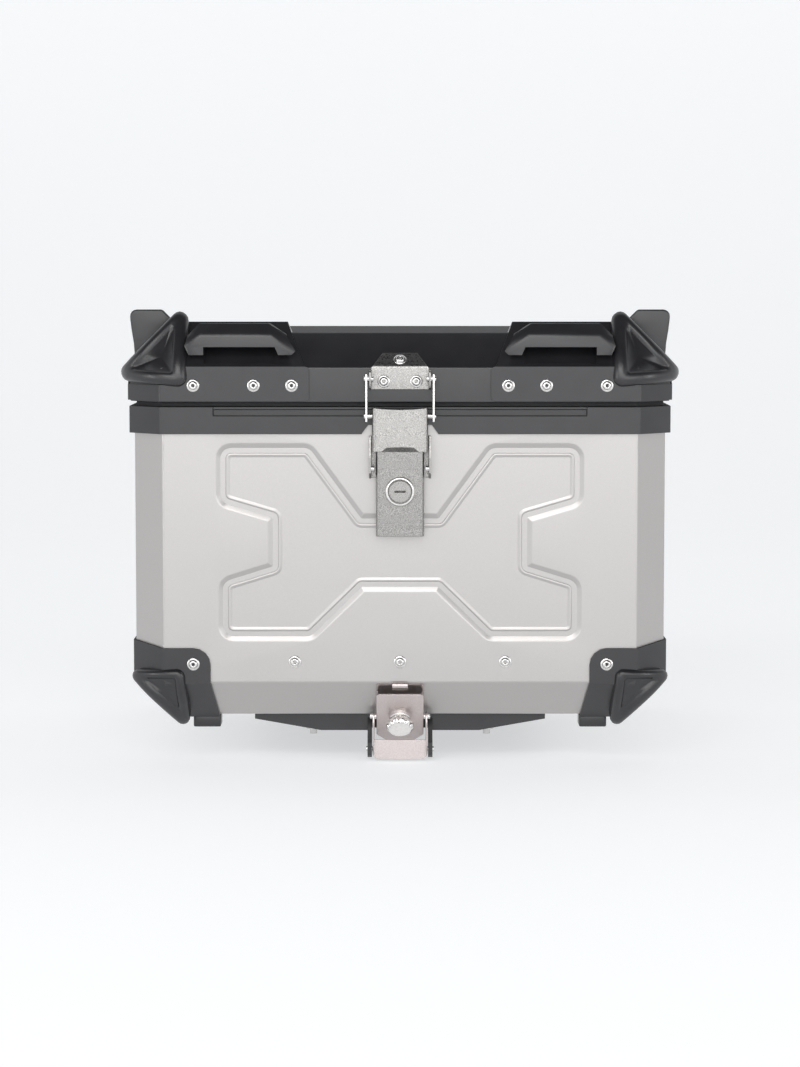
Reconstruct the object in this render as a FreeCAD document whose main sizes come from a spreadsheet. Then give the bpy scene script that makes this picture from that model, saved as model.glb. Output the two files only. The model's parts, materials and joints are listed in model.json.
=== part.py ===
import FreeCAD, Part
import math
import os
import re
import Sketcher

# Quick-release aluminium top case on its mounting plate, in millimetres.
# The origin is the centre of the mounting plate's underside, where it meets the luggage rack.
# +X is to the right, -Y is the latch side, +Z is up.

DIMS = {
    # Case body: an eight-sided sheet box with a sloping belly all round.
    "case_w": 404,
    "case_d": 345,
    "corner": 23,
    "gauge": 1.5,
    "floor_z": 14,
    "belly": 28,
    "wall_top": 249,
    # X-shaped panel pressed into the front wall.
    "press_deep": 2.5,
    "press_w": 132,
    "press_low": 81,
    "press_high": 216.7,
    "press_waist": 92.5,
    # Plastic rim that closes the body's top edge.
    "rim_low": 231,
    "rim_top": 251.3,
    "rim_proud": 4,
    "rim_wall": 2.5,
    "rim_inner_low": 238,
    "grip_w": 282,
    "grip_high": 6.8,
    "grip_deep": 3,
    # Lid: band, 45 degree slope, flat top.
    "lid_low": 255.1,
    "lid_band_top": 281,
    "lid_top": 307,
    "lid_proud": 3,
    "lid_wall": 2.5,
    "seal_low": 251.5,
    "seal_in": 9,
    # Corner guards and their bumpers.
    "guard": 2,
    "guard_reach": 58.3,
    "guard_top": 70,
    "guard_low": 4,
    "foot_x": 137.8,
    "foot_w": 21,
    "lid_guard_low": 256,
    "lid_guard_reach": 133.5,
    "lid_guard_side": 70,
    "block_top": 313.5,
    "block_deep": 33,
    "bar_low": 296.5,
    "bar_front": 177,
    "bar_back": 164,
    "bar_in": 80,
    "bar_out": 160,
    "grab_in": 94.2,
    "grab_out": 147.8,
    "grab_low": 284,
    "ear_top": 324,
    "ear_thick": 7,
    "bumper_proud": 7,
    "bumper_reach": 60,
    # Screws: M5 button heads.
    "screw_head": 9.5,
    "screw_head_high": 2.6,
    "screw_shank": 5,
    "screw_key": 3,
    "body_screw_z": 57.9,
    "body_screw_x": 79.8,
    "guard_screw_x": 156.7,
    "guard_screw_z": 56.4,
    "lid_screw_z": 267.7,
    "body_nut": 8,
    "body_nut_high": 4,
    "brace_half": 95,
    "brace_low": 48,
    "brace_high": 68,
    "brace": 2,
    "mat": 2.5,
    # Upper latch.
    "latch_pivot_out": 11.5,
    "keeper_half": 21.7,
    "keeper_low": 264.8,
    "keeper_screw_x": 12.2,
    "keeper_screw_z": 270.8,
    "flap_high": 9.5,
    "flap_half": 13,
    "keeper_pin_z": 273,
    "bail_pin_z": 245,
    "hook_pin_z": 205.5,
    "cover_half": 21,
    "cover_low": 218.3,
    "cover_out": 17,
    "lock_half": 18,
    "lock_out": 15.4,
    "lock_low": 154.4,
    "lock_high": 236,
    "lever_back": 8,
    "lock_z": 188.7,
    "bezel_r": 11.2,
    "plug_r": 8.7,
    "base_half": 23.3,
    "base_low": 198,
    "base_high": 230,
    "link_x": 24.5,
    "link_half": 3.5,
    "pin": 4,
    # Lower latch, square to the belly slope.
    "release_half": 18,
    "release_out": 9,
    "release_up": 16.2,
    "release_down": 41.5,
    "release_pin_down": 15.5,
    "release_pin_out": 5.5,
    "knob_down": 12.8,
    "knob": 21.4,
    "knob_seat_r": 8,
    "knob_high": 9,
    "knob_shaft": 8,
    "catch_pin_y": 142,
    "catch_pin_z": -13.5,
    "catch_half": 21,
    "catch_front": 151.5,
    "catch_low": -20,
    "catch_high": 16,
    "side_pin": 6.5,
    "strap_half": 17.4,
    "strap_up": 19,
    "tab_half": 5.9,
    "tab_up": 24,
    # Mounting plate and its rack bolts.
    "mount_top": 13.5,
    "mount_w": 224,
    "mount_flat": 122,
    "mount_front": 135,
    "mount_back": 115,
    "mount_ear_x": 21.6,
    "mount_ear": 3.4,
    "wing_z": 9,
    "boss_z": 0.2,
    "boss_r": 6.4,
    "rack_bolt_x": 68.2,
    "rack_bolt_y": 85,
    "rack_bolt": 5.9,
    "rack_head_r": 7,
    "rack_head_high": 3.5,
    "rack_sink": 5,
    "washer_r": 6,
    "washer": 1.5,
    "rack_nut": 10,
    "rack_nut_high": 5,
    "slot_x": 45,
    "slot_y": 50,
    "slot_r": 4.2,
    "slot_long": 30,
    "lug_x": 19,
    "lug_y": 95,
    "lug_long": 20,
    "lug_wide": 6,
    "lug_low": 5,
    # Rear hinges between the rim and the lid.
    "hinge_x": 92,
    "hinge_out": 181.5,
    "hinge_z": 253.2,
    "hinge_w": 70,
    "hinge_r": 4,
    "hinge_pin_r": 2,
    "hinge_leaf": 2,
    "hinge_low": 234,
    "hinge_leaf_high": 18,
    "hinge_gap": 0.3,
}

V = FreeCAD.Vector
X, Y, Z = V(1, 0, 0), V(0, 1, 0), V(0, 0, 1)

doc = FreeCAD.newDocument("top_case")
sheet = doc.addObject("Spreadsheet::Sheet", "dims")
for row, (alias, value) in enumerate(DIMS.items(), 1):
    sheet.set(f"A{row}", alias)
    sheet.set(f"B{row}", str(value))
    sheet.setAlias(f"B{row}", alias)
doc.recompute()

subparts = []


# ---- Expressions over the sheet ----

def bound(expression):
    """The expression with each driving dimension read from the sheet."""
    def cell(word):
        return "dims." + word.group() if word.group() in DIMS else word.group()
    return re.sub(r"[a-z_]+", cell, str(expression))


def size(expression):
    """The expression's value."""
    return float(sheet.evalExpression(bound(expression)))


def bind(thing, prop, expression):
    """Ties a property to an expression over the sheet."""
    thing.setExpression(prop, bound(expression))


def minus(expression):
    return f"-({expression})"


# ---- Outlines: lists of points, each a pair of expressions ----

def octagon(half_w, half_d, cut):
    """A rectangle with cut corners."""
    side = f"{half_d} - ({cut})"
    end = f"{half_w} - ({cut})"
    return [(half_w, side), (end, half_d), (minus(end), half_d), (minus(half_w), side),
            (minus(half_w), minus(side)), (minus(end), minus(half_d)), (end, minus(half_d)),
            (half_w, minus(side))]


def plan(grow):
    """The case's plan, moved outwards by grow. Its cut corners stay at 45 degrees."""
    return octagon(f"case_w / 2 + {grow}", f"case_d / 2 + {grow}", f"corner + (2 - sqrt(2)) * ({grow})")


def both_sides(half):
    """An outline symmetric in its first coordinate, from its right half listed top to bottom."""
    return half + [(minus(across), up) for across, up in reversed(half)]


def rectangle(left, low, right, high):
    return [(left, low), (right, low), (right, high), (left, high)]


# ---- Bodies, sketches and features ----

def body(name):
    made = doc.addObject("PartDesign::Body", name)
    made.Label = name
    return made


def keep(thing, name):
    """Registers an object as a sub-part, under the name of its file."""
    thing.Label = name
    subparts.append(thing)
    return thing


def sketch(owner, role, offset):
    """An empty sketch on one of the body's own planes, moved along the plane's normal."""
    drawn = owner.newObject("Sketcher::SketchObject", owner.Name + "_sketch")
    plane = next(one for one in owner.Origin.OriginFeatures if one.Role == role)
    drawn.AttachmentSupport = [(plane, "")]
    drawn.MapMode = "FlatFace"
    bind(drawn, "AttachmentOffset.Base.z", offset)
    return drawn


def tie(drawn, kind, *place_and_expression):
    """Adds a dimension to the sketch and binds it to the sheet."""
    *place, expression = place_and_expression
    index = drawn.addConstraint(Sketcher.Constraint(kind, *place, size(expression)))
    drawn.setExpression(f"Constraints[{index}]", bound(expression))


def polygon(drawn, points):
    """Draws a closed outline in the sketch, each corner tied to the sheet."""
    first = drawn.GeometryCount
    corners = [V(size(across), size(up), 0) for across, up in points]
    for start, end in zip(corners, corners[1:] + corners[:1]):
        drawn.addGeometry(Part.LineSegment(start, end), False)
    for step, (across, up) in enumerate(points):
        after = (step + 1) % len(points)
        drawn.addConstraint(Sketcher.Constraint("Coincident", first + step, 2, first + after, 1))
        tie(drawn, "DistanceX", -1, 1, first + step, 1, across)
        tie(drawn, "DistanceY", -1, 1, first + step, 1, up)


def circles(drawn, spots, radius):
    """Draws equal circles in the sketch, each centre tied to the sheet."""
    for across, up in spots:
        index = drawn.GeometryCount
        drawn.addGeometry(Part.Circle(V(size(across), size(up), 0), Z, size(radius)), False)
        tie(drawn, "DistanceX", -1, 1, index, 3, across)
        tie(drawn, "DistanceY", -1, 1, index, 3, up)
        tie(drawn, "Radius", index, radius)


def extrude(owner, kind, drawn, length, reverse=False):
    feature = owner.newObject("PartDesign::" + kind, owner.Name + "_" + kind.lower())
    feature.Profile = drawn
    bind(feature, "Length", length)
    feature.Reversed = reverse
    drawn.Visibility = False
    doc.recompute()
    return feature


def pad(owner, role, start, length, *outlines):
    """Adds material between start and start + length along the plane's normal."""
    drawn = sketch(owner, role, start)
    for points in outlines:
        polygon(drawn, points)
    return extrude(owner, "Pad", drawn, length)


def pad_round(owner, role, start, length, spots, radius):
    drawn = sketch(owner, role, start)
    circles(drawn, spots, radius)
    return extrude(owner, "Pad", drawn, length)


def pocket(owner, role, start, length, *outlines):
    """Removes material between start and start + length along the plane's normal."""
    drawn = sketch(owner, role, start)
    for points in outlines:
        polygon(drawn, points)
    return checked_cut(owner, drawn, length)


def drill(owner, role, start, length, spots, radius):
    """Removes round holes between start and start + length along the plane's normal."""
    drawn = sketch(owner, role, start)
    circles(drawn, spots, radius)
    return checked_cut(owner, drawn, length)


def checked_cut(owner, drawn, length):
    """Pockets the sketch along its normal, and makes sure that it did remove something."""
    before = owner.Shape.Volume
    feature = extrude(owner, "Pocket", drawn, length, reverse=True)
    if owner.Shape.Volume > before - 0.01:
        raise RuntimeError(f"{feature.Name} in {owner.Name} cuts nothing")
    return feature


def taper(owner, low, low_points, high, high_points):
    """Adds a loft between two level outlines."""
    ends = []
    for height, points in ((low, low_points), (high, high_points)):
        drawn = sketch(owner, "XY_Plane", height)
        polygon(drawn, points)
        drawn.Visibility = False
        ends.append(drawn)
    loft = owner.newObject("PartDesign::AdditiveLoft", owner.Name + "_loft")
    loft.Profile = ends[0]
    loft.Sections = [ends[1]]
    loft.Ruled = True
    doc.recompute()
    return loft


def hollow(owner, thickness, normal):
    """Hollows the body inwards, open at its outermost face towards normal."""
    base = owner.Tip
    faces = base.Shape.Faces
    reach = [face.CenterOfMass.dot(normal) for face in faces]
    open_face = reach.index(max(reach)) + 1
    shell = owner.newObject("PartDesign::Thickness", owner.Name + "_thickness")
    shell.Base = (base, [f"Face{open_face}"])
    bind(shell, "Value", thickness)
    shell.Reversed = True
    shell.Join = 1
    doc.recompute()
    return shell


def place(thing, x="0", y="0", z="0", rotation=None):
    """Puts an object at a point tied to the sheet, turned by a rotation."""
    thing.Placement = FreeCAD.Placement(V(size(x), size(y), size(z)), rotation or FreeCAD.Rotation())
    for axis, expression in zip("xyz", (x, y, z)):
        bind(thing, f"Placement.Base.{axis}", expression)
    return thing


def box(name, x, y, z, *sides):
    """A block from its lowest corner and its three sides."""
    made = doc.addObject("Part::Box", name)
    for prop, expression in zip(("Length", "Width", "Height"), sides):
        bind(made, prop, expression)
    return place(made, x, y, z)


def rod(name, radius, length, x, y, z, axis=Z):
    """A cylinder from the centre of its first end along axis."""
    made = doc.addObject("Part::Cylinder", name)
    bind(made, "Radius", radius)
    bind(made, "Height", length)
    return place(made, x, y, z, FreeCAD.Rotation(Z, axis))


def tube(name, outer, inner, length, x, y, z, axis=Z):
    return cut(name, rod(name + "_outside", outer, length, x, y, z, axis),
               rod(name + "_inside", inner, length, x, y, z, axis))


def cut(name, base, tool):
    made = doc.addObject("Part::Cut", name)
    made.Base = base
    made.Tool = tool
    return made


def common(name, base, tool):
    made = doc.addObject("Part::Common", name)
    made.Base = base
    made.Tool = tool
    return made


def fuse(name, *shapes):
    made = doc.addObject("Part::MultiFuse", name)
    made.Shapes = list(shapes)
    return made


def group(name, *solids):
    """Identical loose pieces in one sub-part."""
    made = doc.addObject("Part::Compound", name)
    made.Links = list(solids)
    return keep(made, name)


def mirrored(name, source, normal):
    made = doc.addObject("Part::Mirroring", name)
    made.Source = source
    made.Normal = normal
    return made


# ---- Fasteners ----

def button_screw(name, grip, x, y, z, axis):
    """A button-head screw. (x, y, z) is the centre of the face under its head, axis points out."""
    head = rod(name + "_head", "screw_head / 2", "screw_head_high", "0", "0", "0")
    shank = rod(name + "_shank", "screw_shank / 2", grip, "0", "0", minus(grip))
    key = doc.addObject("Part::Prism", name + "_key")
    key.Polygon = 6
    bind(key, "Circumradius", "screw_key / sqrt(3)")
    bind(key, "Height", "screw_head_high")
    place(key, "0", "0", "screw_head_high - 1.6")
    screw = cut(name, fuse(name + "_blank", head, shank), key)
    return place(screw, x, y, z, FreeCAD.Rotation(Z, axis))


def screw_row(name, grip, spots, axis):
    screws = [button_screw(f"{name}_{index}", grip, *spot, axis) for index, spot in enumerate(spots, 1)]
    return group(name, *screws)


def nut(name, across_flats, height, bore, x, y, z, axis=Z):
    """A hexagon nut whose lower face is centred on (x, y, z)."""
    blank = doc.addObject("Part::Prism", name + "_blank")
    blank.Polygon = 6
    bind(blank, "Circumradius", f"({across_flats}) / sqrt(3)")
    bind(blank, "Height", height)
    made = cut(name, blank, rod(name + "_bore", bore, height, "0", "0", "0"))
    return place(made, x, y, z, FreeCAD.Rotation(Z, axis))


FOUR_CORNERS = [(sx, sy) for sx in ("", "-") for sy in ("", "-")]


# ---- Mounting plate, which stays on the rack ----

def mounting_plate():
    """Moulded plate with a flat foot, raised wings, slots for the rack and two ears for the catch."""
    plate = body("mounting_plate")
    length = "mount_front + mount_back"
    pad(plate, "XZ_Plane", "-mount_back", length, both_sides([
        ("mount_w / 2", "mount_top"), ("mount_w / 2", "wing_z"), ("mount_flat / 2", "0")]))
    bolts = [(f"{sx}rack_bolt_x", f"{sy}rack_bolt_y") for sx, sy in FOUR_CORNERS]
    pad_round(plate, "XY_Plane", "boss_z", "wing_z - boss_z", bolts, "boss_r")
    pocket(plate, "XY_Plane", "0", "mount_top",
           rectangle("-mount_ear_x", "-mount_front", "mount_ear_x", "13 - mount_front"))
    for left in ("-mount_ear_x - mount_ear", "mount_ear_x"):
        pad(plate, "YZ_Plane", left, "mount_ear", [
            ("12 - mount_front", "10"), ("-mount_front", "10"), ("-catch_pin_y - 6", "-8"),
            ("-catch_pin_y - 6", "catch_pin_z - 4"), ("-catch_pin_y - 3", "catch_pin_z - 6"),
            ("-catch_pin_y + 4", "catch_pin_z - 6"), ("12 - mount_front", "0")])
    drill(plate, "YZ_Plane", "-mount_ear_x - mount_ear", "2 * (mount_ear_x + mount_ear)",
          [("-catch_pin_y", "catch_pin_z")], "pin / 2")
    drill(plate, "XY_Plane", "0", "mount_top", bolts, "rack_bolt / 2 + 0.35")
    drill(plate, "XY_Plane", "mount_top - rack_sink", "rack_sink", bolts, "rack_head_r + 1.5")
    for sx, sy in FOUR_CORNERS:
        rack_slot(plate, f"{sx}slot_x", f"{sy}slot_y")
    pocket(plate, "XY_Plane", "0", "mount_top", rectangle("-32", "lug_y - 5", "32", "lug_y + 5"))
    return keep(plate, "mounting_plate")


def rack_slot(plate, x, y):
    """One round-ended slot through the plate, along X."""
    half = "(slot_long / 2 - slot_r)"
    pocket(plate, "XY_Plane", "0", "mount_top", rectangle(f"{x} - {half}", f"{y} - slot_r",
                                                       f"{x} + {half}", f"{y} + slot_r"))
    drill(plate, "XY_Plane", "0", "mount_top", [(f"{x} - {half}", y), (f"{x} + {half}", y)], "slot_r")


def rack_fasteners():
    """Four M6 bolts down through the plate, each with a washer and a nut below it."""
    bolts, washers, nuts = [], [], []
    for index, (sx, sy) in enumerate(FOUR_CORNERS, 1):
        x, y = f"{sx}rack_bolt_x", f"{sy}rack_bolt_y"
        head = rod(f"rack_bolt_head_{index}", "rack_head_r", "rack_head_high", x, y, "mount_top - rack_sink")
        shank = rod(f"rack_bolt_shank_{index}", "rack_bolt / 2", "mount_top + 10 - rack_sink", x, y, "-10")
        bolts.append(fuse(f"rack_bolt_{index}", head, shank))
        washers.append(tube(f"rack_washer_{index}", "washer_r", "rack_bolt / 2 + 0.25", "washer",
                            x, y, "boss_z - washer"))
        nuts.append(nut(f"rack_nut_{index}", "rack_nut", "rack_nut_high", "rack_bolt / 2",
                        x, y, "boss_z - washer - rack_nut_high"))
    group("rack_bolts", *bolts)
    group("rack_washers", *washers)
    group("rack_nuts", *nuts)


def catch_pins():
    """Two short pins on which the catch swings."""
    inner = "catch_half - gauge"
    group("catch_pins", *[rod(f"catch_pin_{index}", "pin / 2", "side_pin", x, "-catch_pin_y",
                              "catch_pin_z", X)
                          for index, x in enumerate((inner, minus(f"{inner} + side_pin")), 1)])


# ---- Lower latch ----

def base_catch():
    """U-shaped catch: two side arms joined by an upright front plate."""
    catch = body("base_catch")
    front = "-catch_front"
    arm = [("-157", "catch_high"), ("-148", "catch_high"), ("-143.5", "-2"), ("-137.5", "-9"),
           ("-137.5", "catch_low + 2"), ("-140", "catch_low"), (front, "catch_low"), (front, "-5"),
           ("-158", "8")]
    pad(catch, "YZ_Plane", "-catch_half", "2 * catch_half", arm)
    pocket(catch, "YZ_Plane", "gauge - catch_half", "2 * (catch_half - gauge)",
           [("-160", "catch_high + 2"), ("-130", "catch_high + 2"), ("-130", "catch_low - 2"),
            (f"{front} + gauge", "catch_low - 2"), (f"{front} + gauge", "-5"), ("-160", "-5")])
    for pivot in (("-catch_pin_y", "catch_pin_z"), release_pin_place()):
        drill(catch, "YZ_Plane", "-catch_half", "2 * catch_half", [pivot], "pin / 2 + 0.05")
    return keep(catch, "base_catch")


def release_pin_place():
    """Where the release plate's pins stand, as (y, z), from the middle of the belly slope."""
    along, out = "release_pin_down / sqrt(2)", "release_pin_out / sqrt(2)"
    return (f"-(case_d - belly) / 2 + {along} - {out}", f"floor_z + belly / 2 - {along} - {out}")


def on_slope(thing):
    """Stands an object on the front belly slope: its own y runs up the slope and its z points out."""
    place(thing, "0", "-(case_d - belly) / 2", "floor_z + belly / 2", FreeCAD.Rotation(X, 135))
    return thing


def release_plate():
    """Plate with folded side walls that carries the release knob."""
    plate = body("release_plate")
    face = "release_out - gauge"
    pad(plate, "XY_Plane", face, "gauge", [
        ("-release_half", "release_up"), ("release_half", "release_up"),
        ("release_half", "7 - release_down"), ("release_half - 7", "-release_down"),
        ("7 - release_half", "-release_down"), ("-release_half", "7 - release_down")])
    for left in ("-release_half", "release_half - gauge"):
        pad(plate, "XY_Plane", "release_out - 6", "6", rectangle(
            left, "-release_pin_down - 3", f"{left} + gauge", "release_up - 2"))
    drill(plate, "XY_Plane", face, "gauge", [("0", "-knob_down")], "knob_shaft / 2 + 0.05")
    drill(plate, "YZ_Plane", "-release_half", "2 * release_half",
          [("-release_pin_down", "release_pin_out")], "pin / 2")
    return keep(on_slope(plate), "release_plate")


def release_pins():
    """Two pins that join the release plate to the catch's arms."""
    y, z = release_pin_place()
    inner = "release_half - gauge"
    group("release_pins", *[rod(f"release_pin_{index}", "pin / 2", "side_pin", x, y, z, X)
                            for index, x in enumerate((inner, minus(f"{inner} + side_pin")), 1)])


def knob_ring():
    ring = body("knob_ring")
    pad_round(ring, "XY_Plane", "release_out", "2", [("0", "-knob_down")], "knob_seat_r")
    drill(ring, "XY_Plane", "release_out", "2", [("0", "-knob_down")], "knob_shaft / 2 + 0.05")
    return keep(on_slope(ring), "knob_ring")


def release_knob():
    """Fluted knob on a shaft that reaches through the plate to the cam."""
    knob = body("release_knob")
    pad_round(knob, "XY_Plane", "release_out + 2.2", "knob_high", [("0", "0")], "knob / 2")
    drill(knob, "XY_Plane", "release_out + 2.2", "knob_high - 2", [("knob / 2 + 0.5", "0")], "1.3")
    flutes = knob.newObject("PartDesign::PolarPattern", "knob_flutes")
    flutes.Originals = [knob.Tip]
    flutes.Axis = (next(one for one in knob.Origin.OriginFeatures if one.Role == "Z_Axis"), [""])
    flutes.Angle = 360
    flutes.Occurrences = 12
    knob.Tip = flutes
    doc.recompute()
    pad_round(knob, "XY_Plane", "release_out - 6", "9", [("0", "0")], "knob_shaft / 2")
    on_slope(knob)
    bind(knob, "Placement.Base.y", "-(case_d - belly) / 2 + knob_down / sqrt(2)")
    bind(knob, "Placement.Base.z", "floor_z + belly / 2 - knob_down / sqrt(2)")
    return keep(knob, "release_knob")


def release_cam():
    """Cam on the knob's shaft, behind the plate."""
    cam = body("release_cam")
    pad(cam, "XY_Plane", "release_out - 5.5", "2.5",
        rectangle("-6", "-knob_down - 6", "6", "-knob_down + 13"))
    drill(cam, "XY_Plane", "release_out - 5.5", "2.5", [("0", "-knob_down")], "knob_shaft / 2")
    return keep(on_slope(cam), "release_cam")


def release_back_plate():
    """Wear plate on the belly slope with a tab above it, for the catch to pull on."""
    plate = body("release_back_plate")
    pad(plate, "XY_Plane", "0", "gauge", both_sides([
        ("tab_half", "tab_up"), ("tab_half", "strap_up"), ("strap_half", "strap_up"),
        ("strap_half", "-strap_up")]))
    for left in ("-15.5", "11.5"):
        pocket(plate, "XY_Plane", "0", "gauge", rectangle(left, "-8", f"{left} + 4", "12"))
    return keep(on_slope(plate), "release_back_plate")


# ---- Case body ----

def pressed_outline(grow):
    """The X-shaped panel's outline, moved outwards by grow."""
    wide, waist = f"press_w + {grow}", f"press_waist + {grow}"
    low, high = f"press_low - {grow}", f"press_high + {grow}"
    lean = f"{grow} * 0.4"
    right = [(f"31.2 - {lean}", f"163.2 + {grow}"), (f"70.5 - {lean}", high), (wide, high),
             (wide, f"182 - {grow}"), (waist, f"170.4 - {grow}"), (waist, f"127.8 + {grow}"),
             (wide, f"116 + {grow}"), (wide, low),
             (f"69 - {lean}", low), (f"30.5 - {lean}", f"118.7 - {grow}")]
    return right + [(minus(across), up) for across, up in reversed(right)]


def body_wall():
    """Aluminium wall folded round the eight sides, with an X pressed into its front."""
    wall = body("body_wall")
    waist, inside = "floor_z + belly", "case_d / 2 - gauge"
    pad(wall, "XY_Plane", waist, f"wall_top - ({waist})", plan("0"), plan("-gauge"))
    pad(wall, "XZ_Plane", f"{inside} - press_deep", "press_deep + 0.2", pressed_outline("gauge"))
    pocket(wall, "XZ_Plane", "case_d / 2 - press_deep", "press_deep", pressed_outline("0"))
    row = [(x, "body_screw_z") for x in ("-body_screw_x", "0", "body_screw_x")]
    corners = [(f"{sign}guard_screw_x", "guard_screw_z") for sign in ("-", "")]
    drill(wall, "XZ_Plane", inside, "gauge", row + corners, "screw_shank / 2")
    drill(wall, "XZ_Plane", "-case_d / 2", "gauge", corners, "screw_shank / 2")
    return keep(wall, "body_wall")


def floor_pan():
    """Aluminium floor with its belly sloping up to the foot of the wall."""
    pan = body("floor_pan")
    taper(pan, "floor_z", plan("-belly"), "floor_z + belly", plan("0"))
    hollow(pan, "gauge", Z)
    return keep(pan, "floor_pan")


def front_brace():
    """Angle strip inside the front wall that the lower row of screws holds."""
    brace = body("front_brace")
    front = "case_d / 2 - gauge"
    pad(brace, "XZ_Plane", f"{front} - brace", "brace",
        rectangle("-brace_half", "brace_low", "brace_half", "brace_high"))
    drill(brace, "XZ_Plane", f"{front} - brace", "brace",
          [(x, "body_screw_z") for x in ("-body_screw_x", "0", "body_screw_x")], "screw_shank / 2")
    return keep(brace, "front_brace")


def body_screws():
    row = [(x, "-case_d / 2", "body_screw_z") for x in ("-body_screw_x", "0", "body_screw_x")]
    screw_row("body_screws", "gauge + 6.5", row, -Y)
    group("body_nuts", *[nut(f"body_nut_{index}", "body_nut", "body_nut_high", "screw_shank / 2",
                             x, "gauge + brace - case_d / 2", "body_screw_z", Y)
                         for index, (x, _, _) in enumerate(row, 1)])


def floor_lugs():
    """Two lugs under the floor that drop into the mounting plate's rear slot and stop the case sliding."""
    lugs = [box(f"floor_lug_{index}", f"{sign}lug_x - lug_long / 2", "lug_y - lug_wide / 2", "lug_low",
                "lug_long", "lug_wide", "floor_z - lug_low") for index, sign in enumerate(("-", ""), 1)]
    group("floor_lugs", *lugs)


def floor_mat():
    """Soft mat that lies on the case's floor."""
    mat = body("floor_mat")
    pad(mat, "XY_Plane", "floor_z + gauge", "mat", plan("-belly - 1"))
    return keep(mat, "floor_mat")


def upper_rim():
    """Plastic channel over the body's top edge, with a finger groove and a cut-out for the latch."""
    rim = body("upper_rim")
    pad(rim, "XY_Plane", "rim_low", "rim_top - rim_low", plan("rim_proud"), plan("-gauge - rim_wall"))
    pocket(rim, "XY_Plane", "rim_low", "wall_top - rim_low", plan("0"), plan("-gauge"))
    pocket(rim, "XY_Plane", "rim_low", "rim_inner_low - rim_low", plan("0"), plan("-gauge - rim_wall"))
    front = "case_d / 2"
    pocket(rim, "XZ_Plane", f"{front} + rim_proud - grip_deep", "grip_deep",
           rectangle("-grip_w / 2", "rim_top - grip_high", "grip_w / 2", "rim_top"))
    pocket(rim, "XZ_Plane", front, "rim_proud", both_sides([("24", "238"), ("29", "rim_low")]))
    return keep(rim, "upper_rim")


# ---- Corner guards ----

def corner_prism(name, side, peak, front):
    """Prism across the right front corner, in the wedge from peak towards side and front, each (x, y, z)."""
    side, peak, front = (V(*tip) for tip in (side, peak, front))
    tips = [peak, peak + (side - peak) * 1.5, peak + (front - peak) * 1.5]
    across = (tips[1] - tips[0]).cross(tips[2] - tips[0]).normalize()
    reach = across * size("bumper_reach")
    triangle = Part.Face(Part.makePolygon([tip - reach for tip in tips + tips[:1]]))
    made = doc.addObject("Part::Feature", name)
    made.Shape = triangle.extrude(reach * 2)
    return made


def form(name, grow, low, top):
    """Solid of the body's outside up to top, moved outwards by grow, its belly slope carried down to low."""
    solid = body(name)
    waist = f"floor_z + belly - {grow} * (sqrt(2) - 1)"
    taper(solid, low, plan(f"{grow} + {low} - ({waist})"), waist, plan(grow))
    pad(solid, "XY_Plane", waist, f"{top} - ({waist})", plan(grow))
    return solid


def lid_form(name, grow, low, top):
    """Solid of the lid's outside, moved outwards by grow, with its slope carried up to top."""
    solid = body(name)
    out = f"lid_proud + {grow}"
    bend = f"lid_band_top + {grow} * (sqrt(2) - 1)"
    pad(solid, "XY_Plane", low, f"{bend} - {low}", plan(out))
    taper(solid, bend, plan(out), top, plan(f"{out} + {bend} - {top}"))
    return solid


def lid_blank(name):
    """The lid's own outside."""
    return lid_form(name, "0", "lid_low", "lid_top")


def body_guards():
    """Guards on the body's four lower corners, each with a foot and a bumper."""
    outside = form("guard_outside", "guard", "floor_z - guard", "guard_top")
    inside = form("guard_inside", "0", "floor_z", "guard_top")
    reach_x, reach_y = "case_w / 2 - guard_reach", "case_d / 2 - guard_reach"
    window = box("guard_window", reach_x, minus("case_d / 2 + 10"), "guard_low", "guard_reach + 10",
                 "guard_reach + 10", "guard_top")
    foot = box("guard_foot", "foot_x", minus("case_d / 2 - belly"), "guard_low", "foot_w", "foot_w",
               "floor_z - guard_low")
    bump = common("guard_bumper", form("guard_bumper_form", "bumper_proud", "floor_z - 6", "51"),
                  corner_prism("guard_bumper_prism", (209, -133, 47), (164, -139, 8), (167, -179.5, 48)))
    solid = fuse("guard_solid", common("guard_leg", outside, window), bump, foot)
    hole = rod("guard_hole", "screw_shank / 2", "20", "guard_screw_x", minus("case_d / 2 + 10"),
               "guard_screw_z", Y)
    guard = cut("body_guard_front_right", solid, fuse("guard_hollow", inside, hole))
    four_guards("body_guard", guard, guard)


def four_guards(name, front, rear):
    """Registers the right-hand guards and their mirror images on the left. rear is given at the front."""
    keep(front, f"{name}_front_right")
    keep(mirrored(f"{name}_front_left", front, X), f"{name}_front_left")
    rear_right = keep(mirrored(f"{name}_rear_right", rear, Y), f"{name}_rear_right")
    keep(mirrored(f"{name}_rear_left", rear_right, X), f"{name}_rear_left")


def lid_guard_leg(name, reach):
    """Cover over the lid's front right corner, reaching inwards along the front by reach."""
    low, tall = "lid_guard_low", "lid_top - lid_low + 15"
    back = minus("case_d / 2 - 45")
    window = box(name + "_window", f"case_w / 2 - {reach}", minus("case_d / 2 + 10"), low, f"{reach} + 15",
                 "lid_guard_side + 10", tall)
    inner = box(name + "_inner", f"case_w / 2 - {reach}", back, low, f"{reach} - 60", "60", tall)
    outside = lid_form(name + "_outside", "guard", low, "lid_top + guard")
    return cut(name + "_leg", common(name + "_wide", outside, window), inner)


def lid_screws_x():
    return ("155.6", "110.2", "81.5")


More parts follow.
